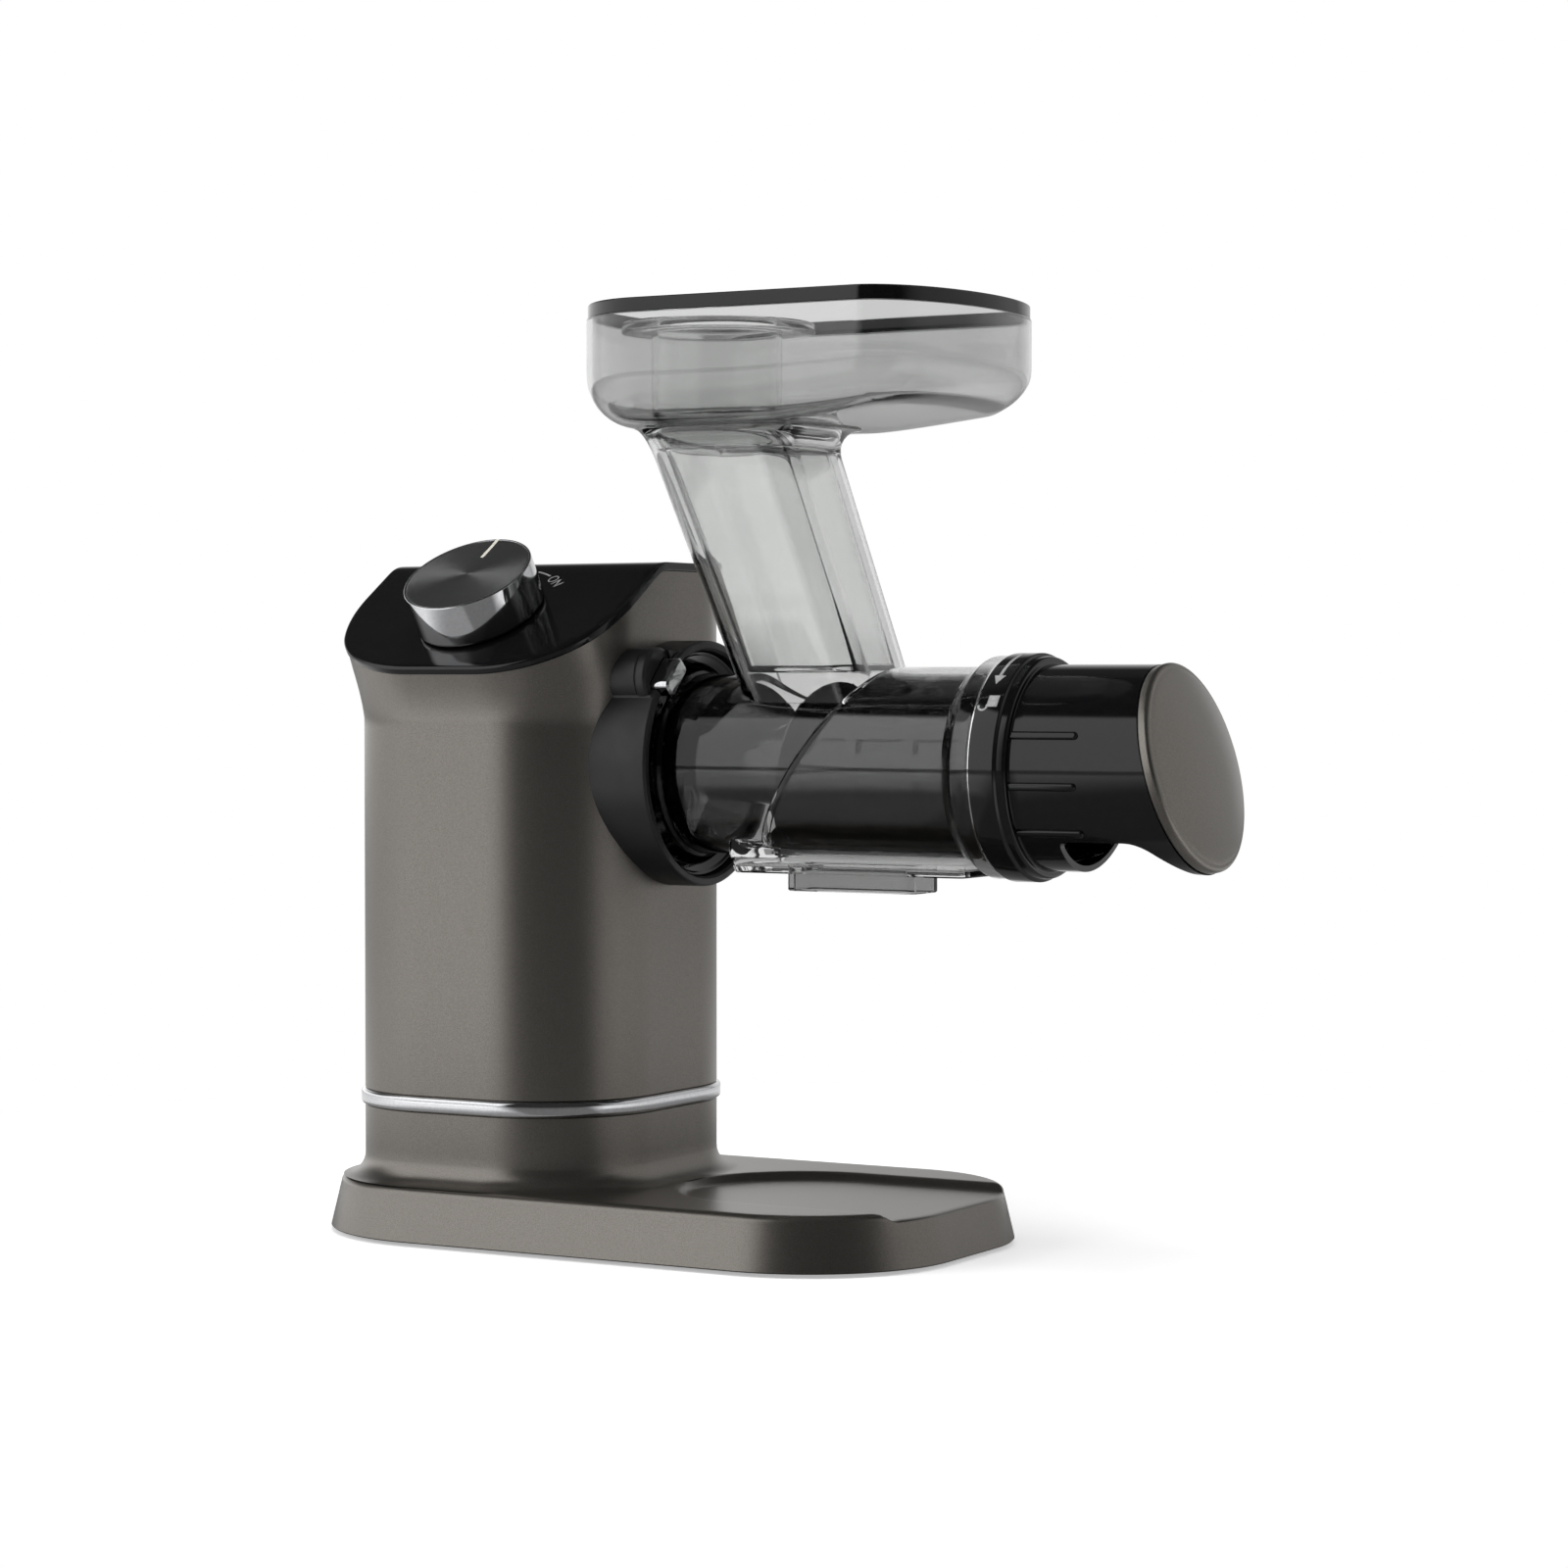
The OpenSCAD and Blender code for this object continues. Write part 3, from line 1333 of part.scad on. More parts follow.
module end_cap() {
    placed() color(gloss_black) {
        difference() {
            union() {
                rod(ring_x, ring_l, ring_r);
                intersection() {
                    union() {
                        rod(ring_end - cut, end_reach - ring_end, cap_r);
                        for (a = rib_degs) for (s = [-1, 1])
                            translate([rib_x, 0, axis_z]) rotate([s * a, 0, 0])
                                translate([0, -rib_w / 2, 0]) cube([rib_l, rib_w, cap_r + rib_proud]);
                    }
                    behind_dome(0);
                }
            }
            rod(ring_x - cut, ring_l - shoulder_t + cut, ring_bore);
            rod(neck_lug_x - lug_room, neck_lug_l + 2 * lug_room, ring_groove_r);
            lugs_at(ring_x - cut, neck_lug_x - ring_x + 2 * cut, ring_bore - cut, ring_groove_r - snug,
                    lug_deg + lug_play_deg, cap_turn);
            difference() {
                intersection() {
                    rod(ring_x, end_reach, cap_bore);
                    behind_dome(-shoulder_t);
                }
                // Spider that carries the auger's nose
                for (i = [0:spider_arms - 1]) translate([0, 0, axis_z]) rotate([i * 360 / spider_arms, 0, 0])
                    translate([spider_x, -spider_arm_w / 2, 0]) cube([spider_t, spider_arm_w, cap_r]);
                rod(spider_x, spider_t, spider_hub_r);
                // Bosses for the end plate's screws
                at_dome_screws() translate([0, 0, -shoulder_t - dome_boss_l])
                    cylinder(h = dome_boss_l + cut, r = dome_boss_r, $fn = 32);
            }
            rod(spider_x - cut, spider_t + 2 * cut, nose_bush_r + snug / 2);
            at_dome_screws() translate([0, 0, -shoulder_t - dome_boss_l - cut])
                cylinder(h = shoulder_t + dome_boss_l + 2 * cut, r = dome_screw_r + run_gap, $fn = 32);
            // Pulp outlet
            translate([pulp_x, -cap_r - cut, axis_z - cap_r - 2 * cut])
                cube([base_reach, 2 * (cap_r + cut), cap_r - pulp_drop + 2 * cut]);
        }
    }
}

module nose_bush() {
    placed() color(brass) pipe(spider_x, spider_t, nose_bush_r, nose_r + run_gap);
}

module end_dome() {
    placed() color(paint) difference() {
        union() {
            on_dome() cylinder(h = dome_rim - dome_edge, r = dome_r);
            on_dome() translate([0, 0, dome_rim - dome_edge])
                cylinder(h = dome_edge, r1 = dome_r, r2 = crown_r);
            on_dome() intersection() {
                translate([0, 0, dome_rim + dome_crown - crown_sphere_r]) sphere(r = crown_sphere_r);
                translate([0, 0, dome_rim - skin]) cylinder(h = dome_crown + cut, r = dome_r);
            }
        }
        at_dome_screws() translate([0, 0, -cut])
            cylinder(h = dome_rim + cut, r = dome_screw_r + run_gap, $fn = 32);
    }
}

module dome_screws() {
    deep = shoulder_t + dome_boss_l + dome_screw_head_t;
    placed() color(steel) at_dome_screws() translate([0, 0, -deep]) {
        cylinder(h = dome_screw_head_t, r = dome_screw_head_r, $fn = 32);
        cylinder(h = deep + dome_rim - gap, r = dome_screw_r, $fn = 32);
    }
}

module pointer_slot(grow) {
    translate([-pointer_w / 2 - grow, knob_r - pointer_l, -pointer_t])
        cube([pointer_w + 2 * grow, pointer_l + grow, pointer_t + grow]);
}

module knob_body() {
    face_h = knob_h - knob_gap - knob_face_t;
    placed() color(chrome) on_slope(knob_gap) difference() {
        cylinder(h = knob_h - knob_gap, r = knob_r);
        translate([0, 0, -cut]) difference() {
            cylinder(h = face_h - knob_wall + cut, r = knob_r - knob_wall);
            cylinder(h = knob_h, r = knob_hub_r);
        }
        translate([0, 0, face_h]) cylinder(h = knob_face_t + cut, r = knob_r - knob_face_inset);
        translate([0, 0, -cut]) cylinder(h = face_h - knob_wall + cut, r = knob_shaft_r + snug / 2);
        translate([0, 0, knob_h - knob_gap]) pointer_slot(run_gap);
    }
}

module knob_face() {
    placed() color(spun_aluminium) on_slope(knob_h - knob_face_t) difference() {
        cylinder(h = knob_face_t, r = knob_r - knob_face_inset - run_gap);
        translate([0, 0, knob_face_t]) pointer_slot(run_gap);
    }
}

module knob_pointer() {
    placed() color(chrome) on_slope(knob_h) translate([0, 0, -gap / 2]) intersection() {
        translate([-pointer_w / 2, knob_r - pointer_l + run_gap, -pointer_t + gap / 2])
            cube([pointer_w, pointer_l, pointer_t - gap / 2]);
        translate([0, 0, -knob_h]) cylinder(h = 2 * knob_h, r = knob_r - gap / 2);
    }
}

module knob_shaft() {
    deep = panel_t + top_wall + shaft_in_switch;
    placed() color(steel) on_slope(-deep)
        cylinder(h = deep + knob_h - knob_face_t - knob_wall, r = knob_shaft_r);
}

base_shell();
bottom_cover();
rubber_feet();
base_screws();
trim_band();
cord_inlet();
chassis();
body_housing();
top_panel();
rotary_switch();
control_board();
board_screws();
motor_cradle();
motor_can();
motor_end_cap();
stator_core();
rotor_shaft();
rotor_core();
motor_fan();
motor_pinion();
gearbox_plate();
gearbox_cover();
gearbox_posts();
gearbox_screws();
gear_pins();
first_gear();
second_gear();
output_gear();
output_shaft();
output_bushes();
output_seal();
drive_coupling();
collar_housing();
socket_liner();
interlock_switch();
release_button();
latch_pin();
button_spring();
auger();
auger_insert();
juicing_barrel();
chamber_seal();
strainer_frame();
strainer_mesh();
strainer_seal();
feed_tray();
hopper_rim();
pusher_stem();
pusher_cap();
end_cap();
nose_bush();
end_dome();
dome_screws();
knob_body();
knob_face();
knob_pointer();
knob_shaft();
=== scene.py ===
import bpy
import bmesh
import json
import numpy as np
from contextlib import contextmanager
from functools import lru_cache, reduce
from math import acos, atan, atan2, cos, hypot, pi, radians, sin, sqrt, tan
from mathutils import Matrix, Vector
from mathutils.geometry import delaunay_2d_cdt


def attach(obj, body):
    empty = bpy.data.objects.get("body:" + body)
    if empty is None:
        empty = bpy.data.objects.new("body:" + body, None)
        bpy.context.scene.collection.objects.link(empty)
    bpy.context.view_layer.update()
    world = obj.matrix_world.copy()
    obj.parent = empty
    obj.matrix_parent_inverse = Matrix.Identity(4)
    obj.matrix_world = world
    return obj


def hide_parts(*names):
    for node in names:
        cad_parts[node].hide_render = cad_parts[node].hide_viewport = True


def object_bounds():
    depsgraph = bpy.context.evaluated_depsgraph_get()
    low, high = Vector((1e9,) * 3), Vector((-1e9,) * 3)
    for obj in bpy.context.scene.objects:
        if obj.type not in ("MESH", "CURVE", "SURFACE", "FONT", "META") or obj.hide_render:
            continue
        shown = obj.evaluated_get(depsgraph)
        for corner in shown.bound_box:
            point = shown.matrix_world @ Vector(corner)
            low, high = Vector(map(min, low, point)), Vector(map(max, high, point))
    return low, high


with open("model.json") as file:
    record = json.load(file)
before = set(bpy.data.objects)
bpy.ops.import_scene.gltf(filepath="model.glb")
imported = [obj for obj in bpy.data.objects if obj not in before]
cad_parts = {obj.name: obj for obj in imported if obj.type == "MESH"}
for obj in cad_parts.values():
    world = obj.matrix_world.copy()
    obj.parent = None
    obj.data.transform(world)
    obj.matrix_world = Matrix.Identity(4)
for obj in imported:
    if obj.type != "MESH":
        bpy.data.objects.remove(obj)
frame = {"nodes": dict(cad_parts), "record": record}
CAD_BOX = [list(v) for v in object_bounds()]
NODE = frame["nodes"]

# Lengths are in millimetres from the column's axis and the floor. Forward is +X, along the barrel;
# the casing's own front, which carries the knob, faces -Y
# The base plate's rear end, and the row frame's origin
REAR_X = -81.4
MIDDLE_X = REAR_X - CAD_BOX[0][0] * 1000


def point(x, y, z):
    """A point in millimetres from the column's axis, as metres in the row frame."""
    return Vector(((x - MIDDLE_X) / 1000, y / 1000, z / 1000))


# Shader nodes
def add_node(tree, kind, inputs=None, **settings):
    """A shader node; inputs gives each socket a number or another node's output."""
    made = tree.nodes.new("ShaderNode" + kind)
    for name, value in settings.items():
        setattr(made, name, value)
    for socket, value in (inputs or {}).items():
        if isinstance(value, bpy.types.NodeSocket):
            tree.links.new(value, made.inputs[socket])
        else:
            made.inputs[socket].default_value = value
    return made


def maths(tree, operation, *values):
    return add_node(tree, "Math", dict(enumerate(values)), operation=operation).outputs[0]


def vector_maths(tree, operation, *values):
    return add_node(tree, "VectorMath", dict(enumerate(values)), operation=operation).outputs


def map_range(tree, source, ends, to, kind="SMOOTHSTEP"):
    """Maps source from between the two ends to between the two values of to."""
    inputs = {"Value": source, "From Min": ends[0], "From Max": ends[1], "To Min": to[0], "To Max": to[1]}
    return add_node(tree, "MapRange", inputs, interpolation_type=kind).outputs["Result"]


def towards(tree, direction, azimuth, ends, to):
    """Maps how near a unit direction is to an azimuth, in degrees from +X, by the cosine between them."""
    angle = radians(azimuth)
    aim = (cos(angle), sin(angle), 0)
    return map_range(tree, vector_maths(tree, "DOT_PRODUCT", direction, aim)["Value"], ends, to)


# Materials
# The noise values that tones and roughness are spread over
MID = (0.3, 0.7)


def new_material(name, **sockets):
    """A material with its tree and its surface; sockets are named with _ for each space."""
    material = bpy.data.materials.new(name)
    material.use_nodes = True
    surface = material.node_tree.nodes["Principled BSDF"]
    for socket, value in sockets.items():
        surface.inputs[socket.replace("_", " ")].default_value = value
    return material, material.node_tree, surface


def noise(tree, scale, detail, rough):
    coords = add_node(tree, "TexCoord").outputs["Object"]
    inputs = {"Vector": coords, "Scale": scale, "Detail": detail, "Roughness": rough}
    return add_node(tree, "TexNoise", inputs).outputs["Fac"]


def two_tone(tree, surface, source, dark, light):
    """Spreads the base colour from dark to light over source."""
    made = add_node(tree, "ValToRGB", {"Fac": source})
    for stop, place, color in zip(made.color_ramp.elements, MID, (dark, light)):
        stop.position = place
        stop.color = (*color, 1)
    tree.links.new(made.outputs["Color"], surface.inputs["Base Color"])


def shades(color, down, up):
    return [c * down for c in color], [min(1, c * up) for c in color]


def roughness(tree, surface, source, low, high):
    tree.links.new(map_range(tree, source, MID, (low, high), "LINEAR"), surface.inputs["Roughness"])


def bump(tree, surface, source, strength, depth):
    made = add_node(tree, "Bump", {"Strength": strength, "Distance": depth, "Height": source})
    tree.links.new(made.outputs["Normal"], surface.inputs["Normal"])


def paint():
    """Fine metallic paint: flakes in two tones under a thin coat."""
    material, tree, surface = new_material("metal_paint", Metallic=0.92, Roughness=0.31, Coat_Weight=0.10,
                                           Coat_Roughness=0.3)
    two_tone(tree, surface, noise(tree, 3800, 1.0, 0.6), (0.18, 0.167, 0.151), (0.285, 0.266, 0.243))
    bump(tree, surface, noise(tree, 5200, 0.0, 0.5), 0.12, 0.00006)
    return material


def plastic(name, color, rough, grain, depth, specular=0.5):
    """Moulded plastic with a grain of that scale and depth."""
    material, tree, surface = new_material(name, Metallic=0.0, Specular_IOR_Level=specular)
    grains = noise(tree, grain, 3.0, 0.6)
    two_tone(tree, surface, grains, *shades(color, 0.82, 1.2))
    roughness(tree, surface, noise(tree, 60, 3.0, 0.55), rough * 0.8, rough * 1.25)
    bump(tree, surface, grains, 0.25, depth)
    return material


def metal(name, color, rough, brushed=0.0):
    material, tree, surface = new_material(name, Metallic=1.0)
    grains = noise(tree, 900, 2.0, 0.5)
    two_tone(tree, surface, grains, *shades(color, 0.93, 1.05))
    roughness(tree, surface, noise(tree, 45, 3.0, 0.5), rough * 0.7, rough * 1.3)
    if brushed:
        bump(tree, surface, grains, brushed, 0.00003)
    return material


def spun():
    """Aluminium turned on a lathe: its fine rings stretch every highlight towards the middle."""
    material, tree, surface = new_material("spun_aluminium", Metallic=1.0, Anisotropic=0.85)
    across = vector_maths(tree, "MULTIPLY", add_node(tree, "TexCoord").outputs["Object"], (1, 1, 0))["Vector"]
    radius = maths(tree, "MULTIPLY", vector_maths(tree, "LENGTH", across)["Value"], 9000)
    rings = add_node(tree, "TexNoise", {"Detail": 3, "W": radius}, noise_dimensions="1D").outputs["Fac"]
    two_tone(tree, surface, rings, (0.62, 0.625, 0.635), (0.90, 0.905, 0.915))
    roughness(tree, surface, rings, 0.24, 0.38)
    tangent = add_node(tree, "Tangent", direction_type="RADIAL", axis="Z")
    tree.links.new(tangent.outputs[0], surface.inputs["Tangent"])
    return material


def clear(name, tint):
    """Clear plastic, tinted where light passes through."""
    material, tree, surface = new_material(name, Metallic=0.0, IOR=1.47, Transmission_Weight=1.0)
    waves = noise(tree, 30, 2.0, 0.5)
    two_tone(tree, surface, waves, *shades(tint, 0.985, 1.01))
    roughness(tree, surface, waves, 0.018, 0.045)
    return material


MATERIAL = {
    "paint": paint(),
    "gloss": plastic("gloss_black", (0.004, 0.004, 0.0045), 0.08, 300, 0.000004),
    "matte": plastic("satin_black", (0.011, 0.011, 0.012), 0.38, 2600, 0.00003),
    "satin": plastic("satin_dark", (0.006, 0.006, 0.0065), 0.12, 120, 0.000001),
    "rubber": plastic("rubber", (0.016, 0.016, 0.016), 0.62, 1800, 0.00004, 0.35),
    "nylon": plastic("nylon", (0.70, 0.68, 0.60), 0.42, 900, 0.00002),
    "board": plastic("board", (0.02, 0.11, 0.05), 0.35, 700, 0.00002),
    "chrome": metal("chrome", (0.76, 0.765, 0.78), 0.06),
    "steel": metal("steel", (0.55, 0.56, 0.57), 0.28, 0.2),
    "bronze": metal("bronze", (0.62, 0.42, 0.22), 0.35, 0.2),
    "spun": spun(),
    "smoke": clear("smoke_clear", (0.755, 0.76, 0.755)),
    "tray": clear("smoke_tray", (0.62, 0.625, 0.62)),
    "thin": clear("pusher_clear", (0.965, 0.97, 0.965)),
    "print": plastic("print", (0.42, 0.42, 0.42), 0.5, 900, 0.000002),
}
SLOT_MATERIAL = {"body_paint": "paint", "gloss_black": "gloss", "matte_black": "matte",
                 "chrome_trim": "chrome", "spun_face": "steel", "steel_parts": "steel",
                 "bronze_bush": "bronze", "rubber_parts": "rubber", "clear_smoke": "smoke",
                 "pale_nylon": "nylon", "circuit_board": "board"}
# Solids shown in another material than their slot's
OWN_MATERIAL = {"strainer_mesh": "satin", "strainer_frame": "satin", "auger": "satin",
                "knob_pointer": "nylon"}
for subpart in frame["record"]["subparts"]:
    name = subpart["node"]
    shown_in = OWN_MATERIAL.get(name, SLOT_MATERIAL[subpart["material_slot"]])
    NODE[name].data.materials.clear()
    NODE[name].data.materials.append(MATERIAL[shown_in])


# Mesh helpers
@contextmanager
def editing(mesh):
    """The mesh as a bmesh, written back when the block ends."""
    bm = bmesh.new()
    bm.from_mesh(mesh)
    yield bm
    bm.to_mesh(mesh)
    bm.free()


def face_outwards(bm):
    bmesh.ops.recalc_face_normals(bm, faces=bm.faces)
    for face in bm.faces:
        face.smooth = True


def mark_sharp(bm, sharp):
    """Edges that bend by more than sharp degrees break the shading."""
    limit = radians(sharp)
    for edge in bm.edges:
        edge.smooth = not (len(edge.link_faces) == 2 and edge.calc_face_angle(0) > limit)


def new_mesh(name, shape):
    mesh = bpy.data.meshes.new(name)
    mesh.from_pydata([tuple(v) for v in shape[0]], [], [tuple(f) for f in shape[1]])
    return mesh


def make(name, shape, material, body, slot, *replaced, sharp=40.0, at=None):
    """A piece from a shape, which is its points in metres and its faces."""
    mesh = new_mesh(name, shape)
    mesh.validate()
    with editing(mesh) as bm:
        face_outwards(bm)
        if sharp is not None:
            mark_sharp(bm, sharp)
    o = bpy.data.objects.new(name, mesh)
    bpy.context.collection.objects.link(o)
    mesh.materials.append(MATERIAL[material])
    if at is not None:
        o.matrix_world = at
        bpy.context.view_layer.update()
    if replaced:
        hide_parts(*replaced)
    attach(o, body)
    return o


def weld(o, distance=0.00003):
    """Joins points that lie within distance, in metres."""
    with editing(o.data) as bm:
        bmesh.ops.remove_doubles(bm, verts=bm.verts, dist=distance)
        bmesh.ops.recalc_face_normals(bm, faces=bm.faces)


# Points nearer than this are joined after each boolean, in metres
TINY = 0.000002


def combine(o, operation, *shapes):
    """Adds or takes away closed shapes, one after the other."""
    for shape in shapes:
        part_mesh = new_mesh("part", shape)
        with editing(part_mesh) as bm:
            face_outwards(bm)
        part = bpy.data.objects.new("part", part_mesh)
        bpy.context.collection.objects.link(part)
        modifier = o.modifiers.new("combine", "BOOLEAN")
        modifier.object = part
        modifier.operation = operation
        modifier.solver = "EXACT"
        result = bpy.data.meshes.new_from_object(o.evaluated_get(bpy.context.evaluated_depsgraph_get()))
        old = o.data
        o.modifiers.clear()
        result.name = old.name
        o.data = result
        bpy.data.meshes.remove(old)
        bpy.data.objects.remove(part)
        bpy.data.meshes.remove(part_mesh)
        with editing(result) as bm:
            bmesh.ops.remove_doubles(bm, verts=bm.verts, dist=TINY)
            bmesh.ops.dissolve_degenerate(bm, edges=bm.edges, dist=TINY)


def resharp(o, sharp):
    with editing(o.data) as bm:
        for face in bm.faces:
            face.smooth = True
        mark_sharp(bm, sharp)


# Shapes
def join(*shapes):
    """Several shapes as one."""
    points, faces = [], []
    for more, their_faces in shapes:
        start = len(points)
        points += [tuple(p) for p in more]
        faces += [tuple(i + start for i in face) for face in their_faces]
    return points, faces


def loft(rings, loop=False, capped=False):
    """Quads between rings of equal length. loop joins the last ring to the first."""
    n, count = len(rings[0]), len(rings)
    faces = []
    for j in range(count if loop else count - 1):
        a, b = j * n, ((j + 1) % count) * n
        for i in range(n):
            k = (i + 1) % n
            faces.append((a + i, a + k, b + k, b + i))
    if capped:
        faces.append(tuple(range(n - 1, -1, -1)))
        faces.append(tuple(range((count - 1) * n, count * n)))
    return [p for ring in rings for p in ring], faces


def closed(rings):
    return loft(rings, capped=True)


def full_turn(n):
    """n angles, evenly round."""
    return [2 * pi * i / n for i in range(n)]


def quarter(n):
    """n + 1 angles from 0 to a right angle."""
    return [radians(90 * i / n) for i in range(n + 1)]


def level(points, z):
    """Points of a plan, all at the height z."""
    return [point(x, y, z) for x, y in points]


def plan(ring):
    """A ring back as points (x, y) in millimetres."""
    return [(p.x * 1000 + MIDDLE_X, p.y * 1000) for p in ring]


def blend(start, end, shares):
    """Rings between two rings, at those shares of the way."""
    return [[a.lerp(b, share) for a, b in zip(start, end)] for share in shares]


def fillet(points, n=5):
    """A path of (a, b, radius) corners as points, each corner rounded in n steps."""
    out = []
    for i, (x, y, radius) in enumerate(points):
        before, after = points[i - 1], points[(i + 1) % len(points)]
        u = Vector((before[0] - x, before[1] - y))
        v = Vector((after[0] - x, after[1] - y))
        length_u, length_v = u.length, v.length
        u.normalize()
        v.normalize()
        half = acos(max(-1, min(1, u.dot(v)))) / 2
        if radius <= 0 or half > 1.56:
            out.append((x, y))
            continue
        cut = min(radius / tan(half), length_u * 0.49, length_v * 0.49)
        fitted = cut * tan(half)
        c = Vector((x, y)) + (u + v).normalized() * fitted / sin(half)
        first = atan2(y + u.y * cut - c.y, x + u.x * cut - c.x)
        last = atan2(y + v.y * cut - c.y, x + v.x * cut - c.x)
        sweep = (last - first + pi) % (2 * pi) - pi
        for k in range(n + 1):
            a = first + sweep * k / n
            out.append((c.x + fitted * cos(a), c.y + fitted * sin(a)))
    return out


def arc(cx, cy, r, degrees):
    return [(cx + r * cos(radians(d)), cy + r * sin(radians(d))) for d in degrees]


def outline(corners, n_arc, steps):
    """Points round a rounded shape from corners (x, y, radius, first angle) and the straight edges' steps."""
    out = []
    for k, (cx, cy, r, a0) in enumerate(corners):
        bend = arc(cx, cy, r, [a0 + 90 * i / n_arc for i in range(n_arc + 1)])
        out += bend
        nx, ny, nr, na = corners[(k + 1) % len(corners)]
        b = arc(nx, ny, nr, [na])[0]
        a = bend[-1]
        for i in range(1, steps[k]):
            t = i / steps[k]
            out.append((a[0] + (b[0] - a[0]) * t, a[1] + (b[1] - a[1]) * t))
    return out


def rounded(x0, x1, y0, y1, rear_r, front_r, n_arc, steps):
    """A rectangle with rounded corners: rear_r at the end x0, front_r at the end x1."""
    return outline([(x1 - front_r, y0 + front_r, front_r, -90), (x1 - front_r, y1 - front_r, front_r, 0),
                    (x0 + rear_r, y1 - rear_r, rear_r, 90), (x0 + rear_r, y0 + rear_r, rear_r, 180)],
                   n_arc, steps)


def inside(loop, x, y):
    """Which of the points (x, y) lie inside a closed outline."""
    result = np.zeros(len(x), bool)
    px, py = np.array([p[0] for p in loop]), np.array([p[1] for p in loop])
    for a, b, c, d in zip(px, py, np.roll(px, -1), np.roll(py, -1)):
        if b != d:
            result ^= ((b > y) != (d > y)) & (x < (c - a) * (y - b) / (d - b) + a)
    return result


# Points nearer than this to an outline are left out of a sheet
CLEARANCE = 1.0


def sheet(outer, hole, points, height):
    """Triangles over the plan between an outline and a hole, at height(x, y)."""
    corners = [Vector(p) for p in outer]
    edges = [(i, (i + 1) % len(outer)) for i in range(len(outer))]
    if hole:
        start = len(corners)
        corners += [Vector(p) for p in hole]
        edges += [(start + i, start + (i + 1) % len(hole)) for i in range(len(hole))]

    def within(x, y):
        kept = inside(outer, x, y)
        return kept & ~inside(hole, x, y) if hole else kept

    xy = np.array(points)
    border = np.array([tuple(p) for p in corners])
    for p in xy[within(xy[:, 0], xy[:, 1])]:
        if np.min(np.abs(border[:, 0] - p[0]) + np.abs(border[:, 1] - p[1])) > CLEARANCE:
            corners.append(Vector((p[0], p[1])))
    v, _, f, _, _, _ = delaunay_2d_cdt(corners, edges, [], 0, 1e-6)
    middle_x = np.array([sum(v[i].x for i in face) / len(face) for face in f])
    middle_y = np.array([sum(v[i].y for i in face) / len(face) for face in f])
    faces = [tuple(face) for face, kept in zip(f, within(middle_x, middle_y)) if kept]
    return [point(p.x, p.y, height(p.x, p.y)) for p in v], faces


def spaced(low, high, step):
    """Values from low up to high, step apart."""
    value = low
    while value < high:
        yield value
        value += step


# Sizes shared with the solids
# Heights of the barrel's axis, the base plate's top, the chrome band's foot and the casing's foot
AXIS, BASE_TOP, BAND_Z, BODY_Z = 193.5, 23.2, 52.6, 59.0
# The column's corners: radius, and how far their centres lie from its axis; the casing's wall and roof
COL_R, CORNER_X, CORNER_Y, WALL, ROOF = 49.0, 16.2, 19.6, 2.6, 2.4
# The top surface: height at the front edge and behind the slope, its slope, and the panel's thickness
FRONT_H, LEVEL_H, SLOPE, PANEL_T = 230.2, 272.1, radians(33), 3.4
# How far the casing's front edge lies before the axis, then the bends at the slope's top and at the rear
FRONT_Y = 75.295
CREST_R, CREST_Z = 15.0, 257.1
CREST_Y = (cos(SLOPE) * (CREST_Z - FRONT_H) + CREST_R - sin(SLOPE) * FRONT_Y) / sin(SLOPE)
REAR_R, REAR_Y, REAR_Z = 10.0, 58.6, 262.1
# The front flares out by FLARE_OUT over FLARE_H; a knot is the share of height, of depth, and the slope
FLARE_OUT, FLARE_Z, FLARE_H = 13.0, 211.0, 34.0
FLARE_KNOTS = ((0, 0, 0.35), (0.32, 0.25, 1.05), (0.78, 0.81, 1.1), (1, 1, 0.5))
# The socket in the column, and the button's boss on its collar with the latch pin's hole
SOCKET_R, BOSS_Y, BOSS_Z, LATCH_R = 46.0, -33.0, 228.6, 2.6
# Steps of the column's and the plate's straight edges, and of each of their corners
EDGE_STEPS, CORNER_STEPS = (28, 14, 28, 14), 40


def around(x, radius, slope=0.0, y=0.0, z=AXIS, n=144):
    """A ring about a line along X. Its plane leans forward by slope for each millimetre of height."""
    return [point(x + radius * sin(a) * slope, y - radius * cos(a), z + radius * sin(a))
            for a in full_turn(n)]


def rod(x0, x1, radius, y=0.0, z=AXIS, n=96):
    return closed([around(x, radius, y=y, z=z, n=n) for x in (x0, x1)])


def rod_of(path, n=5):
    """A path of (x, radius, corner radius) turned about the barrel's axis, with flat ends."""
    return closed([around(x, r) for x, r in fillet(path, n)])


def box_of(x0, x1, half_y, levels, corner):
    """A round-cornered box: levels are (z, moved in all round, moved in at the rear)."""
    rings = []
    for z, g, back in levels:
        r = max(0.3, corner - g)
        rings.append(level(rounded(x0 + g + back, x1 - g, g - half_y, half_y - g, r, r, 6, (4,) * 4), z))
    return closed(rings)


# The casing's surfaces
def flare(z):
    """How far the casing's front has moved out at height z."""
    t = max(0.0, min(1.0, (z - FLARE_Z) / FLARE_H))
    for (low, depth, rise), (high, next_depth, next_rise) in zip(FLARE_KNOTS, FLARE_KNOTS[1:]):
        if t <= high:
            h = high - low
            s = (t - low) / h
            return FLARE_OUT * (depth * (2 * s**3 - 3 * s**2 + 1) + rise * h * (s**3 - 2 * s**2 + s)
                                + next_depth * (-2 * s**3 + 3 * s**2) + next_rise * h * (s**3 - s**2))
    return FLARE_OUT


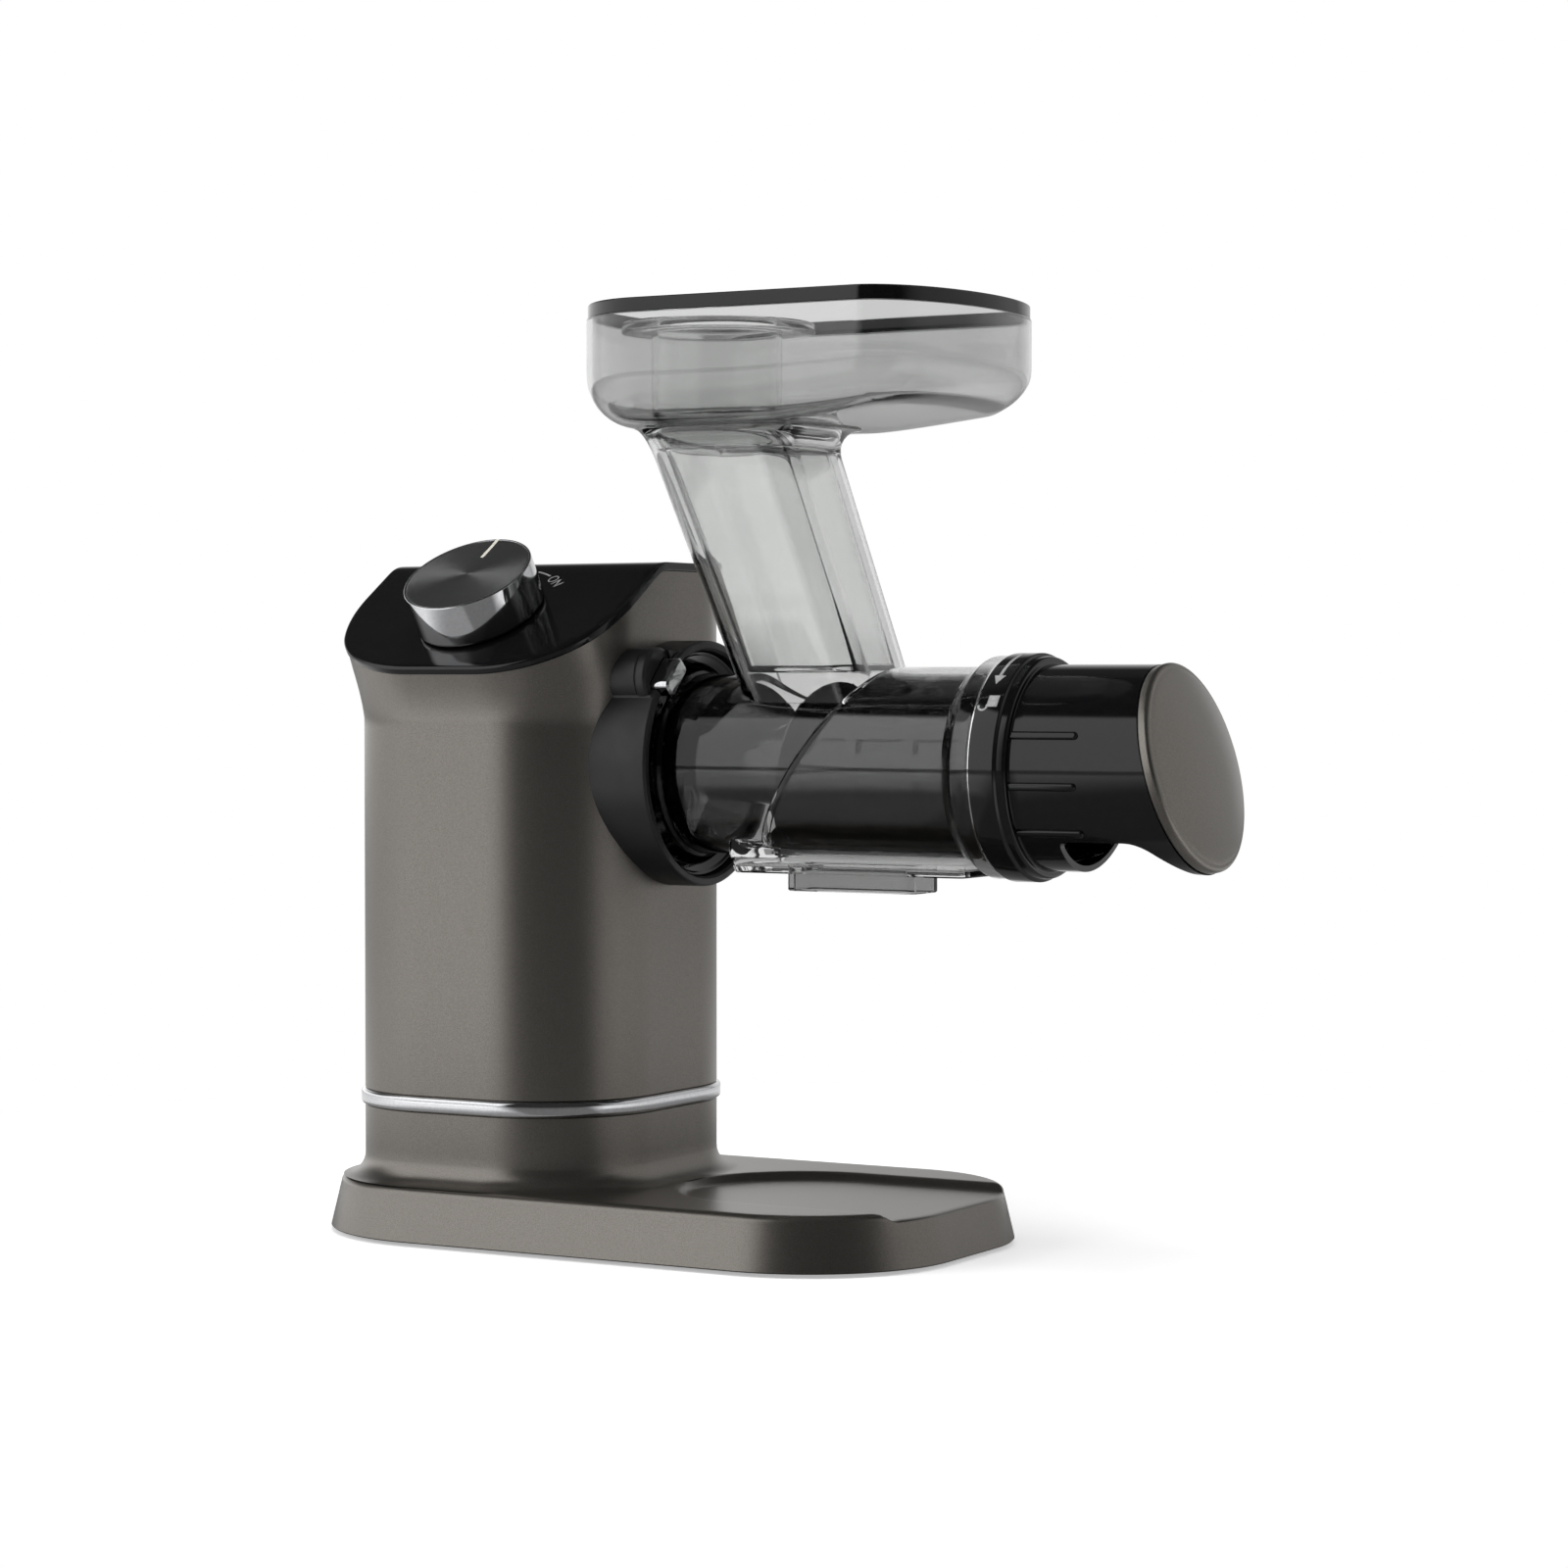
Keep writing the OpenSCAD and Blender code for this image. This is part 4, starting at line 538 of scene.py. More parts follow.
def top_z(y, lift):
    """Height of the casing's top at y, lifted square to its surface."""
    r = CREST_R + lift
    if y < CREST_Y - r * sin(SLOPE):
        return FRONT_H + (y + FRONT_Y) * tan(SLOPE) + lift / cos(SLOPE)
    if y < CREST_Y:
        return CREST_Z + sqrt(max(0, r * r - (y - CREST_Y) ** 2))
    if y < REAR_Y:
        return LEVEL_H + lift
    r = REAR_R + lift
    return REAR_Z + sqrt(max(0, r * r - (y - REAR_Y) ** 2))


def col_ring(grow, out=0.0):
    """The column's outline, grown all round, with its front moved out."""
    r = COL_R + grow
    front = -CORNER_Y - out
    return outline([(CORNER_X, front, r, -90), (CORNER_X, CORNER_Y, r, 0), (-CORNER_X, CORNER_Y, r, 90),
                    (-CORNER_X, front, r, 180)], CORNER_STEPS, EDGE_STEPS)


COL_POINTS = range(len(col_ring(0)))


@lru_cache
def straight_and_flared(grow):
    return col_ring(grow), col_ring(grow, FLARE_OUT)


def col_point(i, grow, z):
    """One point of the column's outline at height z: its front moves with the flare, its rear stays."""
    straight, flared = straight_and_flared(grow)
    t = flare(z) / FLARE_OUT
    return tuple(a + (b - a) * t for a, b in zip(straight[i], flared[i]))


def wall_top(i, grow, lift):
    """Where a point of the casing's outline meets the top surface: (x, y, z)."""
    z = 240.0
    for _ in range(30):
        x, y = col_point(i, grow, z)
        z = 0.5 * z + 0.5 * top_z(y, lift)
    return x, y, z


def casing(grow, lift, low, steps, edge=0.0):
    """Rings of the casing's wall from the height low to edge below its top, and the points of its top."""
    tops = [wall_top(i, grow, lift) for i in COL_POINTS]
    rings = []
    for j in range(steps + 1):
        share = j / steps
        heights = [low + (top[2] - edge - low) * share for top in tops]
        rings.append([point(*col_point(i, grow, z), z) for i, z in enumerate(heights)])
    return rings, tops


def top_points(step_x, low, high):
    """Points over the casing's top, close together where it curves."""
    rows = []
    y = low
    while y < high:
        rows.append(y)
        curved = -18 < y < -2 or y > 56
        y += 0.9 if curved else 2.5
    return [(x * step_x + (0.5 * step_x if k % 2 else 0), y) for k, y in enumerate(rows)
            for x in range(int(-72 / step_x), int(72 / step_x) + 1)]


# The casing's painted wall and roof
LIP_IN, LIP_DOWN = 0.35, 0.02
outer, tops = casing(0, 0, BODY_Z + 0.4, 64, 0.25)
inner, tops_in = casing(-WALL, -ROOF, BODY_Z, 40)
foot = [point(*col_point(i, -0.5, 0), BODY_Z) for i in COL_POINTS]
lip = [point(*col_point(i, -LIP_IN, z), z - LIP_DOWN) for i, (_, _, z) in enumerate(tops)]
wall = loft(inner[::-1] + [foot] + outer + [lip])
deck = sheet(plan(lip), None, top_points(4.0, -80, 70), lambda x, y: top_z(y, -LIP_DOWN))
deck_in = sheet([top[:2] for top in tops_in], None, top_points(4.0, -80, 70), lambda x, y: top_z(y, -ROOF))
housing = make("column_casing", join(wall, deck, deck_in), "paint", "housing", "body_paint", "body_housing")
weld(housing)
combine(housing, "DIFFERENCE", rod(30, 90, SOCKET_R), rod(30, 90, LATCH_R, BOSS_Y, BOSS_Z, 32))
resharp(housing, 30)

# The glossy top panel: it stands out by PANEL_OUT and its edge is rounded by PANEL_EDGE
PANEL_OUT, PANEL_EDGE, PANEL_GAP = 0.8, 1.1, 0.05
panel_tops = [wall_top(i, PANEL_OUT, PANEL_T) for i in COL_POINTS]
panel_lows = [wall_top(i, PANEL_OUT, PANEL_GAP) for i in COL_POINTS]
# Behind the axis its lower edge comes no lower than the rear bend's centre
panel_lows = [max(z, REAR_Z) if y > 0 else z for _, y, z in panel_lows]
panel_rings = [[point(*col_point(i, PANEL_OUT - inset, z + up), z + up) for i, z in enumerate(panel_lows)]
               for up, inset in ((0.0, 0.9), (0.0, 0.35), (0.35, 0.0))]
for a in quarter(5):
    grow = PANEL_OUT - PANEL_EDGE * (1 - cos(a))
    down = PANEL_EDGE * (1 - sin(a))
    edge_points = [col_point(i, grow, z) for i, (_, _, z) in enumerate(panel_tops)]
    panel_rings.append([point(x, y, top_z(y, PANEL_T) - down) for x, y in edge_points])
panel_top = sheet(plan(panel_rings[-1]), None, top_points(3.0, -82, 70), lambda x, y: top_z(y, PANEL_T))
panel_low = sheet(plan(panel_rings[0]), None, top_points(6.0, -82, 70), lambda x, y: top_z(y, PANEL_GAP))
panel = make("control_panel", join(loft(panel_rings), panel_top, panel_low), "gloss", "housing",
             "gloss_black", "top_panel")
weld(panel)
resharp(panel, 40)

# The base plate with its cup recess, and the column's foot
BASE_FRONT, BASE_HALF, BASE_REAR_R, BASE_FRONT_R = 201.9, 83.9, 69, 62
# How far the plate's side leans in, the radii of its edge and round the column, and the side's lowest height
SIDE_IN, EDGE_R, FOOT_R, SIDE_Z = 4.3, 3.0, 9.0, 2.1
# The underside's floor and the foot's inner ledge
UNDER_Z, LEDGE_Z = 4.2, 17.0
RECESS_X, RECESS_IN, RECESS_OUT, RECESS_DEPTH = 125, 46.0, 52.0, 3.0


def base_ring(inset):
    half = BASE_HALF - inset
    return rounded(REAR_X + inset, BASE_FRONT - inset, -half, half, BASE_REAR_R - inset, BASE_FRONT_R - inset,
                   CORNER_STEPS, EDGE_STEPS)


def recess_reach(x, y):
    """Distance from the recess's middle line, which runs from its round end to the plate's front."""
    return hypot(x - RECESS_X, y) if x < RECESS_X else abs(y)


def recess(x, y):
    """Depth of the recess, with a soft rim."""
    t = max(0.0, min(1.0, (recess_reach(x, y) - RECESS_IN) / (RECESS_OUT - RECESS_IN)))
    return RECESS_DEPTH * (1 - t * t * (3 - 2 * t))


side = [level(base_ring(inset), z) for z, inset in ((UNDER_Z, 6.0), (1.6, 6.0), (1.6, 0.5), (SIDE_Z, 0.0))]
for k in range(1, 5):
    share = k / 5
    side.append(level(base_ring(SIDE_IN * share), SIDE_Z + (BASE_TOP - EDGE_R - SIDE_Z) * share))
for a in quarter(6):
    up = sin(a)
    edge_in = base_ring(SIDE_IN + (EDGE_R + 0.7) * (1 - cos(a)))
    side.append([point(x, y, BASE_TOP - EDGE_R + EDGE_R * up - recess(x, y) * (0.35 + 0.65 * up))
                 for x, y in edge_in])
col_foot = [level(col_ring(FOOT_R * (1 - sin(a))), BASE_TOP + FOOT_R * (1 - cos(a))) for a in quarter(8)]
col_foot += [level(col_ring(grow), z) for grow, z in
             ((0, 36.0), (0, 46.0), (0, BAND_Z - 0.4), (-0.4, BAND_Z), (-WALL, BAND_Z), (-WALL, LEDGE_Z))]
col_foot += [level(base_ring(inset), z) for inset, z in ((8.0, LEDGE_Z), (8.0, UNDER_Z), (6.0, UNDER_Z))]
# Points over the plate's top, close together round the recess's rim
GRID_X, GRID_Y, GRID_STEP = -82.0, -84.0, 1.8
grid = []
for row, y in enumerate(spaced(GRID_Y, 84, 1.6)):
    for x in spaced(GRID_X + (GRID_STEP / 2 if row % 2 else 0), 202, GRID_STEP):
        coarse = row % 2 == 0 and int((x - GRID_X) / GRID_STEP) % 2 == 0
        if coarse or RECESS_IN - 2 < recess_reach(x, y) < RECESS_OUT + 2:
            grid.append((x, y))
flat_top = sheet(edge_in, col_ring(FOOT_R), grid, lambda x, y: BASE_TOP - recess(x, y))
base = make("base_plate", join(loft(side), flat_top, loft(col_foot)), "paint", "housing", "body_paint",
            "base_shell")
weld(base)
resharp(base, 35)

# The knob, in its own tilted frame
KNOB_R, KNOB_H, KNOB_GAP, KNOB_Y = 27.0, 19.4, 0.8, -44.5
KNOB_AT = Matrix.Translation(point(0, KNOB_Y, top_z(KNOB_Y, PANEL_T))) @ Matrix.Rotation(SLOPE, 4, "X")
# The face's foot, top and innermost radius, and the pointer slot's half width, corners, length and depth
FACE_LOW, FACE_TOP, FACE_HOLE = KNOB_H - 1.0, KNOB_H - 0.12, 0.05
SLOT_HALF, SLOT_R, SLOT_IN, SLOT_DEPTH = 0.85, 0.84, 14.5, 0.75


def turned(points, n=180):
    """Points (radius, height) turned about their own upright axis, as a closed skin."""
    return loft([[Vector((r * cos(a), r * sin(a), z)) / 1000 for a in full_turn(n)]
                 for r, z in points], loop=True)


slot_plan = rounded(-SLOT_HALF, SLOT_HALF, KNOB_R - SLOT_IN, KNOB_R + 2, SLOT_R, SLOT_R, 6, (1,) * 4)
slot_points, slot_faces = closed([[Vector((x, y, z)) / 1000 for x, y in slot_plan]
                                  for z in (KNOB_H - SLOT_DEPTH, KNOB_H + 1)])
pointer_slot = ([KNOB_AT @ p for p in slot_points], slot_faces)
skirt_path = [(3.2, KNOB_GAP, 0), (26.3, KNOB_GAP, 0.2), (26.7, KNOB_GAP + 0.5, 0.2),
              (KNOB_R, KNOB_GAP + 1.2, 0.3), (KNOB_R, KNOB_H, 0.45), (26.1, KNOB_H - 0.05, 0.15),
              (26.1, FACE_LOW, 0), (3.2, FACE_LOW, 0)]
face_path = [(FACE_HOLE, FACE_LOW, 0), (26.0, FACE_LOW, 0), (26.0, KNOB_H - 0.16, 0.12)]
face_path += [(25.6 - 0.8 * k, FACE_TOP + 0.02 * (k % 2), 0) for k in range(32)] + [(FACE_HOLE, FACE_TOP, 0)]
knob = make("knob_skirt", turned(fillet(skirt_path)), "chrome", "knob", "chrome_trim", "knob_body",
            at=KNOB_AT)
face = make("knob_disc", turned(fillet(face_path)), "spun", "knob", "spun_face", "knob_face", at=KNOB_AT)
for piece in (knob, face):
    combine(piece, "DIFFERENCE", pointer_slot)
    resharp(piece, 30)

# The chrome band round the column's foot
band_path = fillet([(-5.5, 52.65, 0), (1.55, 52.65, 1.5), (1.55, 58.95, 1.5), (-5.5, 58.95, 0)], 6)
make("chrome_band", loft([level(col_ring(grow), z) for grow, z in band_path], loop=True),
     "chrome", "housing", "chrome_trim", "trim_band")

# The chute's outline: half sizes and corner radius at its top, and how much smaller its foot is
CHUTE_X, CHUTE_LOW, TRAY_FLOOR = 95.1, 207.5, 328.3
CHUTE_HALF_X, CHUTE_HALF_Y, CHUTE_R, CHUTE_TAPER, CHUTE_LEAN = 33.3, 29.5, 14.5, 0.12, 0.389


def chute_at(z, inset, flared=0.0):
    """The chute's outline at height z, moved in by inset; its flare is widest forward."""
    k = 1 - CHUTE_TAPER + CHUTE_TAPER * (z - CHUTE_LOW) / (TRAY_FLOOR - CHUTE_LOW)
    half_x, half_y = CHUTE_HALF_X * k - inset, CHUTE_HALF_Y * k - inset
    r = max(CHUTE_R * k - inset, 5.0)
    middle = CHUTE_X + (TRAY_FLOOR - z) * CHUTE_LEAN
    points = rounded(-half_x, half_x, -half_y, half_y, r, r, 16, (8,) * 4)
    if not flared:
        return [(middle + x, y) for x, y in points]
    out = []
    for i, (x, y) in enumerate(points):
        (ax, ay), (bx, by) = points[i - 1], points[(i + 1) % len(points)]
        along = Vector((bx - ax, by - ay)).normalized()
        wider = flared * (0.62 + 0.38 * along.y)
        out.append((middle + x + along.y * wider, y - along.x * wider))
    return out


def chute_ring(z, inset, flared=0.0):
    return level(chute_at(z, inset, flared), z)


# The clear barrel with its step, chute, sump and spout
STEP_LEAN = tan(radians(34.6))
CHUTE_FLARE, CHUTE_WALL = 12, 2.5
barrel_path = [(62, 37.3, 0), (62.7, 38, 0.3), (79, 38, 0.8), (80.2, 36.3, 1.0), (206.2, 36.3, 0.4),
               (207, 39.2, 0.8), (213.2, 43.5, 2.4), (220.3, 43.5, 0.9), (220.3, 41.2, 0.4),
               (232, 41.2, 0.5), (232, 39.8, 0)]
step = [around(140.5 + x, r, STEP_LEAN) for r, x in
        ((34.9, -1.8), (36.6, -1.6), (37.7, -1.0), (38.5, 0.0), (38.95, 1.3), (39.1, 3.0))]
step += blend(around(143.5, 39.1, STEP_LEAN), around(208.4, 39.1), (0.35, 0.7, 1.0))
chute = [chute_ring(z, 0) for z in (CHUTE_LOW, 222, 240, 262, 284, 306)]
chute += [chute_ring(TRAY_FLOOR - CHUTE_FLARE - 0.05 + CHUTE_FLARE * sin(a), 0,
                     CHUTE_FLARE * (1 - cos(a)) + 0.001) for a in quarter(8)]
sump = box_of(101, 208.2, 22, ((150.7, 0.7, 3.6), (151.3, 0.0, 3.6), (153.4, 0.0, 2.6), (153.5, 0.9, 2.5),
                               (158, 0.9, 0), (190, 0.9, 0)), 3.5)
spout = box_of(123, 181, 11, ((143.3, 0.5, 0), (143.8, 0.0, 0), (153, 0.0, 0)), 3.0)
step_in = [around(140.2, 33.0, STEP_LEAN), around(143, 36.6, STEP_LEAN)]
step_in += blend(step_in[-1], around(240, 36.6), (0.5, 1.0))
hollows = [rod_of([(79, 33.0, 0), (79, 33.8, 0.6), (240, 33.8, 0)]), closed(step_in),
           rod(55, 76, 34.5, n=144), rod(70, 82, 12.3, n=144),
           box_of(103.5, 207, 19.0, ((153.2, 0.4, 0), (153.9, 0, 0), (156.8, 0, 0)), 2.0),
           box_of(124, 207, 19.0, ((156, 0, 0), (172, 0, 0)), 2.0),
           box_of(125.5, 178.5, 8.5, ((142, 0, 0), (157, 0, 0)), 1.8),
           closed([chute_ring(z, CHUTE_WALL) for z in (205, 222, 250, 280, 310, 330)])]
barrel = make("barrel_shell", rod_of(barrel_path), "smoke", "chamber", "clear_smoke", "juicing_barrel",
              sharp=None)
combine(barrel, "UNION", closed(step), closed(chute), sump, spout)
combine(barrel, "DIFFERENCE", *hollows)
weld(barrel, 0.000004)
resharp(barrel, 32)

# The tray: two straight sides, a deep bow at the rear and a shallow one at the front
TRAY_HALF, REAR_BOW, FRONT_BOW, BOW_X, FRONT_BOW_X = 65.5, 48, 30, 85.7, 182.7
TRAY_R, TRAY_WALL, RIM_Z = 21.0, 2.3, 371.5
# Past FLOOR_FROM the tray's floor rises towards its front end; the wall follows, less and less up to RISE_TOP
FLOOR_FROM, FLOOR_RISE, RISE_BEND, RISE_TOP = 130, 0.13, 20, 356
# The skirt that stands in the chute: insets of its outside and inside from the chute's, and its lower end
SKIRT_OUT, SKIRT_IN, SKIRT_Z = 2.8, 4.8, 320.3


def tray_at(inset, n=40, m=18):
    """The tray's outline in n steps round each bow and m along each side."""
    half, rear, front = TRAY_HALF - inset, REAR_BOW - inset, FRONT_BOW - inset
    length = FRONT_BOW_X - BOW_X
    out = [(BOW_X + rear * cos(a), half * sin(a))
           for a in (pi * (0.5 + i / n) for i in range(n + 1))]
    out += [(BOW_X + length * k / m, -half) for k in range(1, m)]
    out += [(FRONT_BOW_X + front * cos(a), half * sin(a))
            for a in (pi * (-0.5 + i / n) for i in range(n + 1))]
    return out + [(FRONT_BOW_X - length * k / m, half) for k in range(1, m)]


def tray_ring(inset, z):
    return level(tray_at(inset), z)


def tray_bend(inset):
    """Rings round the bend from the wall to the floor, inset from the tray's outside."""
    r = TRAY_R - inset
    return [tray_ring(inset + r * (1 - sin(a)), TRAY_FLOOR + inset + r * (1 - cos(a)))
            for a in quarter(14)]


shell = tray_bend(0)
shell += [tray_ring(inset, z) for inset, z in
          ((0, 356), (0, 364), (0, RIM_Z - 0.5), (0.15, RIM_Z - 0.12), (0.5, RIM_Z), (TRAY_WALL - 0.2, RIM_Z),
           (TRAY_WALL, RIM_Z - 0.3), (TRAY_WALL, 362), (TRAY_WALL, 352))]
shell += tray_bend(TRAY_WALL)[::-1]
floor_points = [(x, y) for x in range(55, 205, 6) for y in range(-45, 46, 6)]
floor_low = sheet(tray_at(TRAY_R), chute_at(TRAY_FLOOR, SKIRT_OUT), floor_points, lambda x, y: TRAY_FLOOR)
floor_high = sheet(tray_at(TRAY_R), chute_at(TRAY_FLOOR + TRAY_WALL, SKIRT_IN), floor_points,
                   lambda x, y: TRAY_FLOOR + TRAY_WALL)
skirt = loft([chute_ring(z, inset) for z, inset in
              ((TRAY_FLOOR, SKIRT_OUT), (SKIRT_Z + 0.3, SKIRT_OUT), (SKIRT_Z, SKIRT_OUT + 0.3),
               (SKIRT_Z, SKIRT_IN - 0.3), (SKIRT_Z + 0.3, SKIRT_IN), (TRAY_FLOOR + TRAY_WALL, SKIRT_IN))])
tray = make("tray_shell", join(loft(shell), floor_low, floor_high, skirt), "tray", "chamber", "clear_smoke",
            "feed_tray")
for v in tray.data.vertices:
    reach = max(0, v.co.x * 1000 + MIDDLE_X - FLOOR_FROM)
    low_share = min(1, max(0, (RISE_TOP - v.co.z * 1000) / (RISE_TOP - TRAY_FLOOR - TRAY_WALL)))
    v.co.z += FLOOR_RISE * reach * reach / (reach + RISE_BEND) * low_share / 1000
weld(tray, 0.00002)
resharp(tray, 14)
rim_path = fillet([(0.6, 371.52, 0.2), (0.6, 377.1, 0.7), (2.3, 377.1, 0.7), (2.3, 371.52, 0.2)])
make("tray_rim", loft([tray_ring(inset, z) for inset, z in rim_path], loop=True),
     "gloss", "chamber", "gloss_black", "hopper_rim")

# The pusher: a hollow stem in the chute, with a round neck and a dished lid
PUSHER_X, STEM_IN, STEM_WALL, NECK_Z, NECK_R, NECK_BORE = 85.4, 5.5, 2.2, 330.7, 26.5, 24.3
LID_TOP, LID_DISH, LID_LOW = 371.55, 370.3, 367.25


def disc(r, z):
    return [point(PUSHER_X - r * cos(a), r * sin(a), z) for a in full_turn(128)]


def stem_shape(inset, places):
    """The chute's outline moved in, as a closed shape: places are (z, moved in more)."""
    return closed([chute_ring(z, inset + more) for z, more in places])


outside = stem_shape(STEM_IN, ((230.4, 1.2), (230.7, 0.5), (231.6, 0), (262, 0), (296, 0), (331.2, 0)))
stem = make("pusher_body", outside, "thin", "pusher", "clear_smoke", "pusher_stem", sharp=None)
combine(stem, "UNION",
        closed([disc(NECK_R - 0.6, NECK_Z + 0.05), disc(NECK_R, NECK_Z + 0.6), disc(NECK_R, 367.1)]))
combine(stem, "DIFFERENCE",
        stem_shape(STEM_IN + STEM_WALL, ((232.6, 1.0), (233.4, 0), (262, 0), (296, 0), (332.9, 0))),
        closed([disc(NECK_BORE, 332.8), disc(NECK_BORE, 380)]))
resharp(stem, 35)
lid_path = fillet([(24.4, LID_LOW, 0.3), (39.9, LID_LOW, 0.8), (39.9, LID_TOP, 1.4), (33.0, LID_TOP, 0.8),
                   (31.6, LID_DISH, 0.8), (27.8, LID_DISH, 0.6), (26.4, LID_TOP, 0.6), (24.4, LID_TOP, 0.4)])
make("pusher_plate", loft([disc(r, z) for r, z in lid_path], loop=True), "thin", "pusher", "clear_smoke",
     "pusher_cap")

# The collar with the button's boss, the socket's liner and the button
COLLAR_X, COLLAR_LOW, COLLAR_R, COLLAR_FRONT, BOSS_R, BOSS_END = 81.0, 53.2, 50, 79.2, 11.6, 78
BUTTON_HALF_Y, BUTTON_HALF_Z, BUTTON_R, BUTTON_LEAN = 3.9, 8.0, 2.2, radians(44)
# The points (y, z) that the wedges' hollow sides bend towards and that close them inside the ring
BEND_TO, WEDGE_END = Vector((-20.0, 214.0)), Vector((-14.0, 212.0))


def filling(boss_angle, ring_angle, bulge, n=12):
    """A wedge with a hollow side from the boss's flank to the ring's: angles in degrees from -Y upwards."""
    a, b = radians(boss_angle), radians(ring_angle)
    flank, edge = BOSS_R + 0.1, COLLAR_R - 0.2
    p = Vector((BOSS_Y - flank * cos(a), BOSS_Z + flank * sin(a)))
    q = Vector((-edge * cos(b), AXIS + edge * sin(b)))
    c = (p + q) / 2 + (BEND_TO - (p + q) / 2).normalized() * bulge
    curve = [(p * (1 - t) + c * t) * (1 - t) + (c * (1 - t) + q * t) * t
             for t in (k / n for k in range(n + 1))]
    section = curve + [WEDGE_END]
    return closed([[point(x, y, z) for y, z in section] for x in (COLLAR_LOW + 0.1, COLLAR_FRONT)])


def button_ring(x, grow):
    """The button's leaning outline, grown all round."""
    half_y, half_z, r = BUTTON_HALF_Y + grow, BUTTON_HALF_Z + grow, BUTTON_R + grow
    along, across = cos(BUTTON_LEAN), sin(BUTTON_LEAN)
    return [point(x, BOSS_Y + y * along + z * across, BOSS_Z + z * along - y * across)
            for y, z in rounded(-half_y, half_y, -half_z, half_z, r, r, 6, (2,) * 4)]


collar_path = [(COLLAR_LOW, COLLAR_R, 0), (COLLAR_X, COLLAR_R, 1.3), (COLLAR_X, 46.6, 0)]
boss_path = fillet([(COLLAR_LOW, BOSS_R, 0), (72.6, BOSS_R, 0.4), (72.9, BOSS_R - 0.4, 0.3),
                    (73.4, 12.0, 0.6), (BOSS_END, 12.0, 1.5), (BOSS_END, 8.4, 0)])
boss = closed([around(x, r, y=BOSS_Y, z=BOSS_Z, n=96) for x, r in boss_path])
collar = make("collar_body", rod_of(collar_path, 6), "matte", "housing", "matte_black", "collar_housing",
              sharp=None)
combine(collar, "UNION", boss, filling(-38, 14, 3.5), filling(112, 82, 4.0))
combine(collar, "DIFFERENCE", rod_of([(50, SOCKET_R, 0), (79.8, SOCKET_R, 0), (81.6, 47.4, 0)]),
        closed([button_ring(71, 0.4), button_ring(84, 0.4)]), rod(50, 76, LATCH_R, BOSS_Y, BOSS_Z, 32))
resharp(collar, 32)
liner_path = fillet([(56.4, 14, 0.3), (56.4, 45.7, 0.4), (77.9, 45.7, 1.2), (76.2, 43.9, 0.8),
                     (74.6, 40.6, 1.4), (59.3, 40.6, 0.4), (59.3, 14, 0.3)])
make("socket_body", loft([around(x, r) for x, r in liner_path], loop=True), "gloss", "housing", "gloss_black",
     "socket_liner")
button_places = ((75.05, -0.3), (75.2, 0), (85.1, 0), (86.0, -0.9))
make("button_body", closed([button_ring(x, grow) for x, grow in button_places]), "chrome", "button",
     "chrome_trim", "release_button", sharp=24)

# The end cap: its locking ring, its sleeve, cut on a slant by the end plate, and the pulp outlet below
PLATE_LEAN = 14
TILT = tan(radians(PLATE_LEAN))
PLATE_X, SLEEVE_R, BORE_R, CAP_WALL = 291.6, 40, 37.6, 2.65
ring_path = fillet([(220.85, 41.7, 0.3), (220.85, 44.5, 1.0), (231.6, 44.5, 0.6), (232.4, 43.3, 0.5),
                    (236, 43.0, 1.4), (236.0, SLEEVE_R, 0.9), (237.5, SLEEVE_R, 0)])
sleeve = [around(220.9, 41.65)] + [around(x, r) for x, r in ring_path[:-1]] + [around(240, SLEEVE_R)]
sleeve += blend(sleeve[-1], around(PLATE_X - 0.05, SLEEVE_R, -TILT), (0.2, 0.4, 0.6, 0.8, 1.0))
bore = [around(x, r) for x, r in ((215, 41.6), (233.4, 41.6), (233.4, BORE_R), (240, BORE_R))]
bore += blend(bore[-1], around(PLATE_X - CAP_WALL, BORE_R, -TILT), (0.5, 1.0))
outlet_path = fillet([(249.0, 140, 0), (252, 166.1, 3.0), (284.5, 166.1, 16), (303, 150, 0), (303, 130, 0),
                      (249, 130, 0)], 8)
outlet = closed([[point(x, y, z) for x, z in outlet_path] for y in (-50, 50)])
# The arms that carry the auger's nose
ARM_X, ARM_HALF, ARM_R = (241.1, 244.9), 2, 38.5
ARM_FACES = [(0, 1, 2, 3), (7, 6, 5, 4), (0, 4, 5, 1), (1, 5, 6, 2), (2, 6, 7, 3), (3, 7, 4, 0)]
arms = [rod(*ARM_X, 10, n=144)]
for a in full_turn(3):
    section = ((-ARM_HALF, 5), (ARM_HALF, 5), (ARM_HALF, ARM_R), (-ARM_HALF, ARM_R))
    corners = [point(x, y * cos(a) - z * sin(a), AXIS + y * sin(a) + z * cos(a))
               for x in ARM_X for y, z in section]
    arms.append((corners, ARM_FACES))
cap = make("cap_shell", closed(sleeve), "gloss", "cap", "gloss_black", "end_cap", sharp=None)
combine(cap, "DIFFERENCE", closed(bore), outlet)
combine(cap, "UNION", *arms)
combine(cap, "DIFFERENCE", rod(240, 246, 7.6, n=144))
resharp(cap, 32)


def rib(angle, x0=234.6, x1=262.4, half=1.6, height=1.15, n=10):
    """A round-ended ridge along the sleeve."""
    rings = []
    for inset, up in ((0, -0.6), (0, 0.0), (0.06, 0.45), (0.28, 0.85), (0.65, 1.07), (1.0, height)):
        width, r = half - inset * 0.95, SLEEVE_R + up
        ends = [(x, radians(first + 180 * k / n)) for first, x in ((90, x0), (-90, x1)) for k in range(n + 1)]
        ring = []
        for x, t in ends:
            b = radians(angle) + sin(t) * width / SLEEVE_R
            ring.append(point(x + cos(t) * width, -r * cos(b), AXIS + r * sin(b)))
        rings.append(ring)
    return closed(rings)


